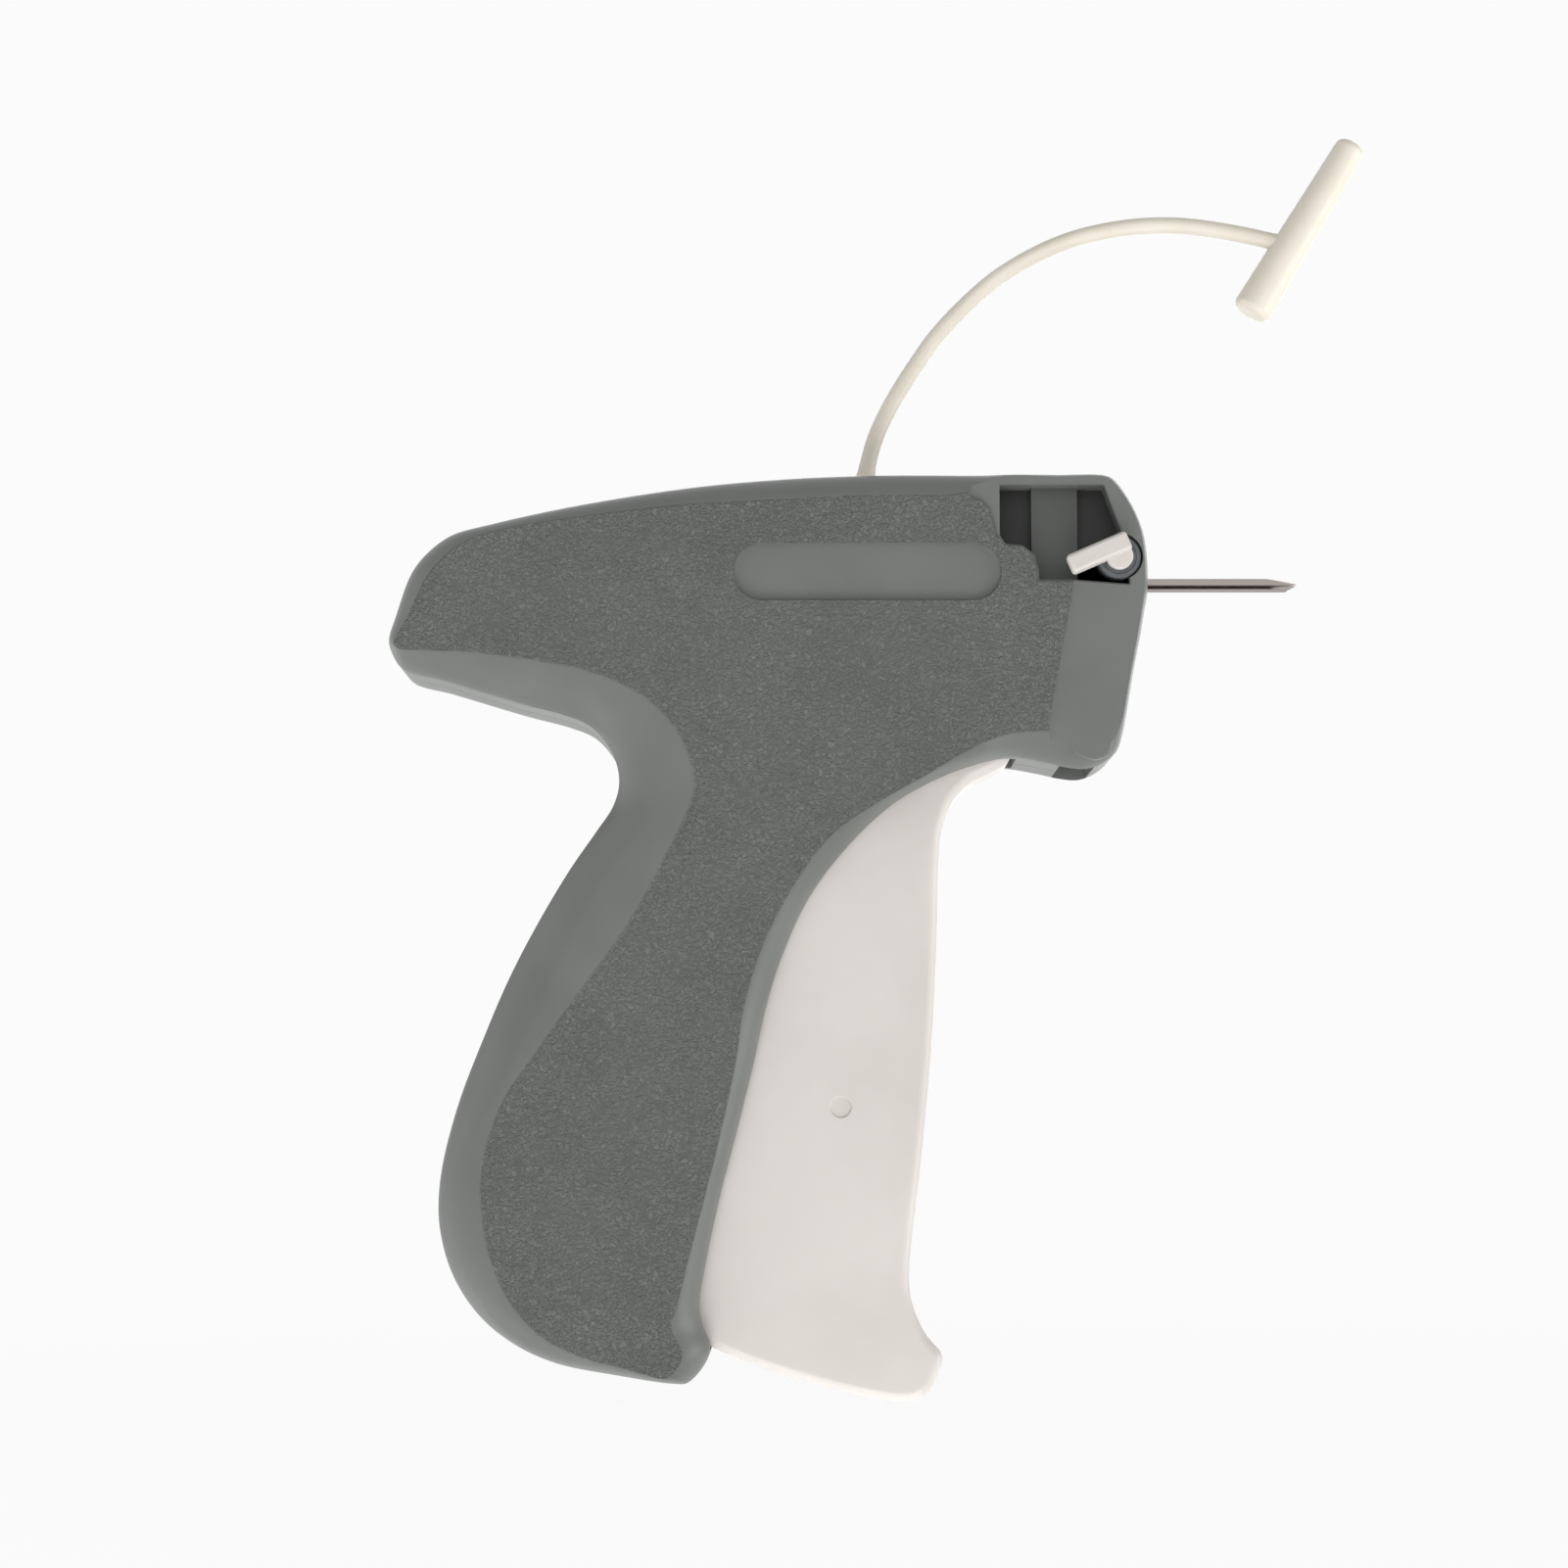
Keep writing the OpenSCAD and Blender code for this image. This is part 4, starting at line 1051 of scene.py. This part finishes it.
@dataclass
class Trigger:
    """The squeeze trigger: a rounded outline, hollow to the rear, with pivot hub, crank and cam grooves."""

    steps: int = 6                       # points between two stations of the outline
    half: float = 6.5
    inner: float = 4.1                   # half the hollow's width
    front: float = 1.8                   # the front wall's thickness
    edge_r: float = 1.5
    edge_steps: int = 7
    pivot: Pair = (-24, -8.5)
    hub_r: float = 4.5
    hub_round: float = 0.4
    bore_r: float = 2.05
    past: float = 2.5                    # how far the bore's cut runs past the sides
    rear_open: Pair = (-5, 1.6)          # the hollow's second place, which opens it to the rear
    crank_reach: float = 6.7
    crank_r: float = 1.2
    crank_steps: int = 32
    crank_y: Pair = (3.8, 8.8)
    squeeze: float = 18                  # degrees
    arm_pivot: Pair = (-65, -48)
    arm_len: float = 14
    arm_start: float = 32                # degrees from upright
    arm_turn: float = 64
    cam_half: float = 1.65
    cam_depth: float = 1.5
    cam_steps: int = 25
    mark: Pair = (-48.1, -82.7)          # round ejector mark on the right side
    mark_r: float = 1.75
    mark_rim: Array = field(default_factory=lambda: np.array([
        [0.25, -0.25], [0.16, -0.1], [0, 0], [-1, 0.2]]))
    crease: float = 28
    outline: Array = field(default_factory=lambda: np.array([
        [-21.6, -28.5], [-24.4, -30.4], [-27.6, -32], [-30.4, -35], [-31.8, -38.2], [-32.5, -42],
        [-33, -56.5], [-33.8, -71.8], [-35.5, -90.2], [-37, -102.4], [-37.5, -108.6], [-37.3, -111.6],
        [-36.4, -114.7], [-34.8, -117.8], [-32.4, -121], [-33.1, -123.7], [-34.6, -126.6],
        [-36.6, -127.7], [-38.6, -128], [-41.6, -127.7], [-47.4, -126.5], [-53.5, -124.9], [-59.7, -123],
        [-65.8, -120.7], [-68.2, -119.6], [-72, -117.4], [-72.6, -113.5], [-71.3, -106], [-69.5, -96.5],
        [-67.2, -87.3], [-65.4, -76.3], [-64.5, -66], [-62.4, -57], [-56, -48], [-49.5, -39.5],
        [-42.5, -31], [-37, -24], [-34.5, -14.5], [-32.5, -10], [-28, -6], [-20, -7], [-19.6, -12],
        [-20, -20]]))

    def cam_path(self) -> Array:
        """The roller's way in the trigger.

        The drive arm's roller swings about the arm's pivot while the trigger turns about its own, and
        each place of the roller is turned back by the trigger's angle.

        Returns:
            Places in X and Z, one a row.
        """
        share = np.linspace(0, 1, self.cam_steps)
        arm = np.radians(self.arm_start - self.arm_turn * share)
        roller = np.array(self.arm_pivot) + self.arm_len * np.stack([np.sin(arm), -np.cos(arm)], axis=1)
        back = np.radians(-self.squeeze * share)
        x, z = (roller - self.pivot).T
        turned = [x * np.cos(back) + z * np.sin(back), -x * np.sin(back) + z * np.cos(back)]
        return np.stack(turned, axis=1) + self.pivot

    def body(self, outline: Array) -> Surface:
        """The trigger's outer solid.

        Its long edges are quarter circles: in from the side by one minus the sine of an angle, and in
        from the outline by one minus its cosine.

        Args:
            outline: The trigger's outline.

        Returns:
            The surface.
        """
        a = np.linspace(np.pi / 2, 0, self.edge_steps)
        low = np.stack([-self.half + self.edge_r * (1 - np.sin(a)), -self.edge_r * (1 - np.cos(a))], axis=1)
        return prism(outline, [*low, *(low[::-1] * [-1, 1])])

    def build(self, material: bpy.types.Material) -> bpy.types.Object:
        """Makes the trigger, dresses it and fits it to its body.

        Args:
            material: Its finish.

        Returns:
            The trigger.
        """
        outline = anticlockwise(spline(self.outline, self.steps))
        piece = solid("trigger_moulding", self.body(outline))
        hollow = inset(outline, self.front)
        for moved in (hollow, hollow + self.rear_open):
            carve(piece, prism(moved, [(-self.inner, 0), (self.inner, 0)]))
        x, z = self.pivot
        hub = dome(2 * self.half, self.hub_r, self.hub_r, self.hub_round)
        carve(piece, lathe(hub, (x, -self.half, z), (0, 1, 0)), Join.ADD)
        crank = circle((x - self.crank_reach, z), self.crank_r, self.crank_steps)
        carve(piece, prism(crank, [(y, 0) for y in self.crank_y]), Join.ADD)
        past = self.half + self.past
        carve(piece, prism(circle(self.pivot, self.bore_r), [(-past, 0), (past, 0)]))
        groove = self.inner + self.cam_depth
        carve(piece, prism(band(self.cam_path(), self.cam_half), [(-groove, 0), (groove, 0)]))
        x, z = self.mark
        carve(piece, lathe(self.mark_rim + [0, self.mark_r], (x, -self.half, z), (0, 1, 0)))
        dress(piece, material)
        shade(piece, self.crease)
        fit(piece, "trigger", "white_acetal", "trigger")
        return piece


# ---- needle and its lock ----


@dataclass
class Needle:
    """The hollow needle: a slotted tube ground to a point, on a thicker shank."""

    root: float = -10.1
    shank_end: float = -0.3
    length: float = 24.5
    outer_r: float = 1.1
    shank_r: float = 1.3
    bore_r: float = 0.75
    slot_z: Pair = (-0.7, -0.1)
    long_slope: float = 5.2
    short_slope: float = 1.733
    steps: int = 96
    shares: Array = field(default_factory=lambda: np.array([0, 0.004, *np.linspace(0.05, 1, 24)]))
    crease: float = 30

    def ring(self, outer: float) -> Array:
        """Section of the slotted tube: the outer arc, then the inner arc back, both ending at the slot.

        Args:
            outer: The outer arc's radius.

        Returns:
            Points across and up, one a row.
        """
        arcs = []
        for radius in (outer, self.bore_r):
            low, high = (math.pi + math.asin(-z / radius) for z in self.slot_z)
            angle = np.linspace(low, high + 2 * math.pi, self.steps)
            arcs.append(radius * np.stack([np.cos(angle), np.sin(angle)], axis=1))
        return np.vstack([arcs[0], arcs[1][::-1]])

    def build(self, material: bpy.types.Material) -> bpy.types.Object:
        """Makes the needle.

        Every line along the tube ends where the grinding meets it: shorter by its height above the
        axis on the long slope, and by its depth below the axis on the short one.

        Args:
            material: Its finish.

        Returns:
            The needle.
        """
        shank, tube_ring = self.ring(self.shank_r), self.ring(self.outer_r)
        height = tube_ring[:, 1] / self.outer_r
        end = self.length - np.where(height > 0, self.long_slope * height, -self.short_slope * height)
        rows = [np.column_stack([np.full(len(shank), x), shank]) for x in (self.root, self.shank_end)]
        rows += [np.column_stack([x, tube_ring]) for x in self.shares[:, None] * end[None]]
        rings = np.stack(rows)
        count, columns = rings.shape[:2]
        here = np.arange(self.steps - 1)
        cap = np.stack([here, here + 1, columns - 2 - here, columns - 1 - here], axis=1)
        faces = np.vstack([sheet_faces(count, columns), cap, cap[:, ::-1] + (count - 1) * columns])
        piece = solid("needle_tube", Surface(rings.reshape(-1, 3), faces.tolist()))
        dress(piece, material)
        shade(piece, self.crease)
        fit(piece, "housing", "bright_steel", "needle")
        return piece


@dataclass
class NeedleLock:
    """The lock's dark disc in the cheek, and the white lever across it."""

    centre: Pair = (-4.7, 2.6)
    shaft_from: float = 2.7
    shaft_r: float = 1.8
    disc_r: float = 3.5
    disc_y: Pair = (11.2, 13.2)
    disc_rim: Array = field(default_factory=lambda: np.array([[-0.45, 0], [-0.15, -0.13], [0, -0.45]]))
    disc_edge: float = 0.15
    dish: Array = field(default_factory=lambda: np.array([[0, 2.75], [-0.2, 2.6], [-0.2, 1.9]]))
    lever_y: Pair = (13.7, 16.2)
    lever_w: float = 3.2
    lever_len: float = 10.1
    tail: float = 2.2                    # how far the lever runs past the axis
    rise: float = 1.6                    # the lever's middle line runs above the lock's axis
    angle: float = 203.4
    corner: float = 0.75
    corner_steps: int = 8
    lever_top: tuple[Pair, ...] = ((0, -0.62), (0.12, -0.34), (0.4, -0.13), (0.9, 0))
    lever_edge: float = 0.2
    hub: tuple = (1.4, 2.1, 2.1, 0.2)    # length, radii and rounding
    hub_sunk: float = 0.2
    crease: float = 30

    def make_disc(self, dark: bpy.types.Material) -> None:
        """Makes the disc with its shaft: a turned profile of distance from the middle plane and radius.

        Args:
            dark: Its finish.
        """
        low, high = self.disc_y
        shaft = [[self.shaft_from, self.shaft_r], [low, self.shaft_r]]
        side = [[low, self.disc_r - self.disc_edge], [low + self.disc_edge, self.disc_r]]
        profile = np.vstack([shaft, side, self.disc_rim + [high, self.disc_r], self.dish + [high, 0]])
        x, z = self.centre
        disc = solid("lock_disc_turned", lathe(profile, (x, 0, z), (0, -1, 0)))
        dress(disc, dark)
        shade(disc, self.crease)
        fit(disc, "needle_lock", "dark_plastic", "lock_disc")

    def make_lever(self, white: bpy.types.Material) -> None:
        """Makes the lever: a bar with a soft upper edge, and the round hub under it.

        Args:
            white: Its finish.
        """
        turn = math.radians(self.angle)
        along = np.array([math.cos(turn), math.sin(turn)])
        across = np.array([-along[1], along[0]])
        middle = np.array(self.centre) - across * self.rise
        across *= self.lever_w / 2
        start, end = -self.tail * along, (self.lever_len - self.tail) * along
        bar = middle + np.array([start - across, end - across, end + across, start + across])
        low, high = self.lever_y
        levels = [(down - high, out) for down, out in self.lever_top]
        levels += [(-low - self.lever_edge, 0), (-low, -self.lever_edge)]
        outline = rounded(bar, self.corner, self.corner_steps)
        lever = solid("lock_lever_moulding", prism(outline, levels))
        x, z = self.centre
        carve(lever, lathe(dome(*self.hub), (x, -self.disc_y[1] + self.hub_sunk, z), (0, -1, 0)), Join.ADD)
        dress(lever, white)
        shade(lever, self.crease)
        fit(lever, "needle_lock", "white_acetal", "lock_lever")

    def build(self, dark: bpy.types.Material, white: bpy.types.Material) -> None:
        """Makes both pieces and fits them to their body."""
        self.make_disc(dark)
        self.make_lever(white)


# ---- strap ----


@dataclass
class Strap:
    """The springy T strap on top: foot, strand and T bar in one moulding."""

    steps: int = 6                       # points between two stations of the strand
    foot: Pair = (-43.9, 16.12)
    foot_profile: Array = field(default_factory=lambda: np.array([
        [-3.9, 2.2], [-3.7, 2.4], [-2.6, 2.4], [-2.5, 1.5], [0, 1.5], [0.02, 3], [0.25, 3.1], [0.6, 2.95],
        [1.05, 2.4], [1.4, 1.9]]))
    strand_r: float = 1.3
    swell: float = 0.5                   # how much thicker the strand is at its ends
    swell_reach: Pair = (4, 4.5)
    bar_centre: Pair = (26.1, 57.8)
    bar_angle: float = 58.8
    bar_len: float = 32.6
    bar_r: Pair = (3.15, 2.4)
    bar_round: float = 1.3
    crease: float = 32
    way: Array = field(default_factory=lambda: np.array([
        [-44, 16.4], [-43.5, 19.5], [-42.4, 23.5], [-40.6, 27.6], [-38.5, 31.4], [-35.7, 35.8], [-32.6, 40.2],
        [-28.4, 44.8], [-23.3, 49.4], [-17.5, 53.1], [-11.3, 55.9], [-5.2, 57.5], [1, 58.3], [7.1, 58.3],
        [13.2, 57.5], [18.4, 56.5], [24.3, 55]]))

    def build(self, material: bpy.types.Material) -> bpy.types.Object:
        """Makes the strap.

        The strand's radius is even, and swells near both ends as the square of the nearness to them,
        where it runs into the foot and the bar.

        Args:
            material: Its finish.

        Returns:
            The strap.
        """
        flat = spline(self.way, self.steps, closed=False)
        path = np.column_stack([flat[:, 0], np.zeros(len(flat)), flat[:, 1]])
        gone = np.concatenate([[0], np.cumsum(np.linalg.norm(np.diff(flat, axis=0), axis=1))])
        ends = (gone, gone[-1] - gone)
        near = sum(np.clip(1 - far / reach, 0, 1) ** 2 for far, reach in zip(ends, self.swell_reach))
        side = np.tile([0.0, 1, 0], (len(path), 1))
        piece = solid("t_strap_moulding", tube(path, side, self.strand_r + self.swell * near))
        angle = math.radians(self.bar_angle)
        axis = np.array([math.cos(angle), 0, math.sin(angle)])
        start = np.array([self.bar_centre[0], 0, self.bar_centre[1]]) - axis * self.bar_len / 2
        carve(piece, lathe(dome(self.bar_len, *self.bar_r, self.bar_round), start, axis), Join.ADD)
        carve(piece, lathe(self.foot_profile, (self.foot[0], 0, self.foot[1]), (0, 0, 1)), Join.ADD)
        dress(piece, material)
        shade(piece, self.crease, weight=BY_AREA)
        fit(piece, "t_strap", "cream_nylon", "t_strap")
        return piece


# ---- inside ----


@dataclass
class Drive:
    """The mechanism inside: a coiled return spring, and the CAD pieces in their materials, the clip guide in
    painted shade.
    """

    spring_x: Pair = (-88.73, -31)
    coil_r: float = 2.2
    wire_r: float = 0.4
    turns: float = 16
    closed_turns: float = 1.2            # at each end
    steps_a_turn: int = 20
    wire_steps: int = 10
    crease: float = 50

    def spring(self, material: bpy.types.Material) -> bpy.types.Object:
        """Makes the spring: a wire that goes round at a steady rate as it runs along X, closed at both ends.

        The first and the last turn lie against the next one, and the rest are spaced evenly between them.
        It stays on the housing.

        Args:
            material: Its finish.

        Returns:
            The spring.
        """
        u = np.linspace(0, 1, int(self.turns * self.steps_a_turn) + 1)
        closed = self.closed_turns / self.turns
        low, high = self.spring_x[0] + self.wire_r, self.spring_x[1] - self.wire_r
        along = [low, low + 2 * self.wire_r, high - 2 * self.wire_r, high]
        angle = u * self.turns * 2 * np.pi
        radial = np.column_stack([np.zeros_like(u), np.cos(angle), np.sin(angle)])
        path = radial * self.coil_r
        path[:, 0] = np.interp(u, [0, closed, 1 - closed, 1], along)
        wire = tube(path, radial, np.full(len(u), self.wire_r), self.wire_steps)
        piece = solid("return_spring_coil", wire)
        dress(piece, material)
        shade(piece, self.crease, weight=BY_AREA)
        fit(piece, "housing", "zinc_steel", "return_spring")
        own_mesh(piece)
        return piece

    def dress_nodes(self, nodes: dict[str, bpy.types.Object], dresses: dict) -> None:
        """Gives each CAD piece that stays in view its material.

        Args:
            nodes: The CAD pieces by name.
            dresses: Names of the pieces that wear each material.
        """
        for material, names in dresses.items():
            for name in names:
                dress(nodes[name], material)
                LOG.info("%s: CAD piece in %s", name, material.name)


# ---- studio ----


@dataclass(frozen=True)
class Lamp:
    """A soft square lamp that faces the object: place and size in metres, power in watts."""

    name: str
    place: Triple
    size: float
    power: float


@dataclass
class Studio:
    """White floor and surroundings, soft lamps and the camera, a little below the object's middle.

    The photograph's light comes from low in front, from below and from the right, so the lamps do too.
    """

    target: Triple = (-56.9, 0, -31.7)
    distance: float = 600
    elevation: float = -5.5
    sensor: float = 36
    lens: float = 87.04
    clip_m: Pair = (0.05, 20)
    floor_z: float = -128.2
    floor_m: float = 6
    floor_dull: str = "#f4f4f4"
    own_white: Pair = (0.97, 1.0)        # the floor's own white near the object and far from it
    own_reach_m: Pair = (0.15, 0.5)
    white: str = "#fbfbfb"
    daylight: float = 0.38
    lamps: tuple[Lamp, ...] = (
        Lamp("low_front", (-0.1, -0.7, -0.95), 0.8, 10),
        Lamp("top_front", (0.0, -0.8, 0.9), 1.0, 0.5),
        Lamp("below", (0.0, 0.0, -1.1), 0.8, 6),
        Lamp("low_left", (-0.8, 0.05, -0.9), 0.45, 6),
        Lamp("left", (-1.1, -0.25, 0.3), 0.8, 1.6),
        Lamp("right", (1.1, -0.25, -0.1), 0.8, 7),
        Lamp("front", (-0.3, -1.1, 0.1), 0.9, 1),
        Lamp("above", (0.1, 0.2, 1.1), 0.9, 0.2),
        Lamp("behind", (0.2, 1.1, 0.2), 0.9, 4),
    )

    def camera(self) -> None:
        """Makes the camera, at the photograph's angle and distance."""
        data = bpy.data.cameras.new("camera")
        data.sensor_width, data.lens = self.sensor, self.lens
        data.clip_start, data.clip_end = self.clip_m
        made = bpy.data.objects.new("camera", data)
        rise = math.radians(self.elevation)
        made.location = (self.target[0] * MM, -self.distance * math.cos(rise) * MM,
                         (self.target[2] + self.distance * math.sin(rise)) * MM)
        made.rotation_euler = (math.pi / 2 - rise, 0, 0)
        bpy.context.scene.collection.objects.link(made)
        bpy.context.scene.camera = made

    def light(self, lamp: Lamp) -> None:
        """Makes a lamp that faces the object's middle.

        Args:
            lamp: What it is.
        """
        data = bpy.data.lights.new(lamp.name, "AREA")
        data.size, data.energy = lamp.size, lamp.power
        made = bpy.data.objects.new(lamp.name, data)
        made.location = lamp.place
        aim = Vector(self.target) * MM - made.location
        made.rotation_euler = aim.to_track_quat("-Z", "Y").to_euler()
        bpy.context.scene.collection.objects.link(made)

    @staticmethod
    def seen(tree: bpy.types.NodeTree) -> bpy.types.NodeSocket:
        """Adds the question whether the camera, a gloss or glass sees the surface.

        Args:
            tree: The node tree.

        Returns:
            The answer, 1 or 0.
        """
        rays = add(tree, "ShaderNodeLightPath").outputs
        answer = rays["Is Camera Ray"]
        for ray in ("Is Glossy Ray", "Is Transmission Ray"):
            answer = add(tree, "ShaderNodeMath", {0: answer, 1: rays[ray]},
                         operation="MAXIMUM").outputs["Value"]
        return answer

    def surroundings(self) -> None:
        """Lights the object evenly and dimly, and is white where the camera or a gloss sees it."""
        world = bpy.data.worlds.new("surroundings")
        bpy.context.scene.world = world
        tree = cleared(world)
        dim = add(tree, "ShaderNodeBackground", {"Color": linear("#ffffff"), "Strength": self.daylight})
        view = add(tree, "ShaderNodeBackground", {"Color": linear(self.white), "Strength": 1.0})
        mix = add(tree, "ShaderNodeMixShader", {0: self.seen(tree), 1: dim.outputs["Background"],
                                                2: view.outputs["Background"]})
        add(tree, "ShaderNodeOutputWorld", {"Surface": mix.outputs["Shader"]})

    def floor_material(self) -> bpy.types.Material:
        """Makes the floor's white: most of it is its own, and the rest is what lights it.

        Returns:
            The material.
        """
        made = bpy.data.materials.new("white_floor")
        tree = cleared(made)
        place = add(tree, "ShaderNodeTexCoord").outputs["Object"]
        away = add(tree, "ShaderNodeVectorMath", {0: place}, operation="LENGTH")
        near, far = self.own_reach_m
        low, high = self.own_white
        own = add(tree, "ShaderNodeMapRange", {"Value": away.outputs["Value"], "From Min": near,
                                               "From Max": far, "To Min": low, "To Max": high})
        share = add(tree, "ShaderNodeMath", {0: self.seen(tree), 1: own.outputs["Result"]},
                    operation="MULTIPLY")
        dull = add(tree, "ShaderNodeBsdfDiffuse", {"Color": linear(self.floor_dull)})
        glow = add(tree, "ShaderNodeEmission", {"Color": linear(self.white), "Strength": 1.0})
        mix = add(tree, "ShaderNodeMixShader", {0: share.outputs["Value"], 1: dull.outputs["BSDF"],
                                                2: glow.outputs["Emission"]})
        add(tree, "ShaderNodeOutputMaterial", {"Surface": mix.outputs["Shader"]})
        return made

    def floor(self) -> None:
        """Lays the white floor, which keeps a soft shadow and lets the low lamps through."""
        out = self.floor_m / MM
        square = np.array([[-out, -out], [out, -out], [out, out], [-out, out]])
        points = np.column_stack([square, np.full(len(square), self.floor_z)])
        piece = solid("floor", Surface(points, [list(range(len(square)))]))
        dress(piece, self.floor_material())
        piece.visible_shadow = False

    def build(self) -> None:
        """Makes the camera, the lamps, the surroundings and the floor."""
        bpy.context.scene.view_settings.view_transform = "Standard"
        self.camera()
        for lamp in self.lamps:
            self.light(lamp)
        self.surroundings()
        self.floor()


def main() -> None:
    """Builds the tag attacher piece by piece."""
    logging.basicConfig(level=logging.INFO, format="%(name)s: %(message)s")
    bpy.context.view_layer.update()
    grey, inner = GREY_ABS.material(), INNER_ABS.material()
    # painted shade: the second pair are darker finishes for the shadow inside the window
    column, painted_shade = COLUMN_SHADE_ABS.material(), PAINTED_SHADE_ABS.material()
    white, cream, dark = WHITE_ACETAL.material(), CREAM_NYLON.material(), DARK_NYLON.material()
    ground, drawn, zinc = GROUND_STEEL.material(), DRAWN_STEEL.material(), ZINC_STEEL.material()
    Studio().build()
    for side in Side:
        Shell(side).build(grey, column, painted_shade)
    Trigger().build(white)
    Needle().build(ground)
    NeedleLock().build(dark, white)
    Strap().build(cream)
    drive = Drive()
    drive.spring(zinc)
    drive.dress_nodes(frame["nodes"], {
        inner: ("arm_bracket", "rod_guide", "feed_slide"),
        painted_shade: ("clip_guide",),
        # painted shade: the clip guide is drawn very dark for the shadow inside the window
        white: ("drive_arm", "slider", "feed_wheel"),
        dark: ("needle_hub",),
        drawn: ("trigger_pin", "arm_pin", "arm_roller", "slider_pin", "ejector_rod", "feed_axle"),
        ground: ("cutter_blade",),
        zinc: ("shell_screws", "feed_pawl", "detent_spring"),
    })


if __name__ == "__main__":
    main()
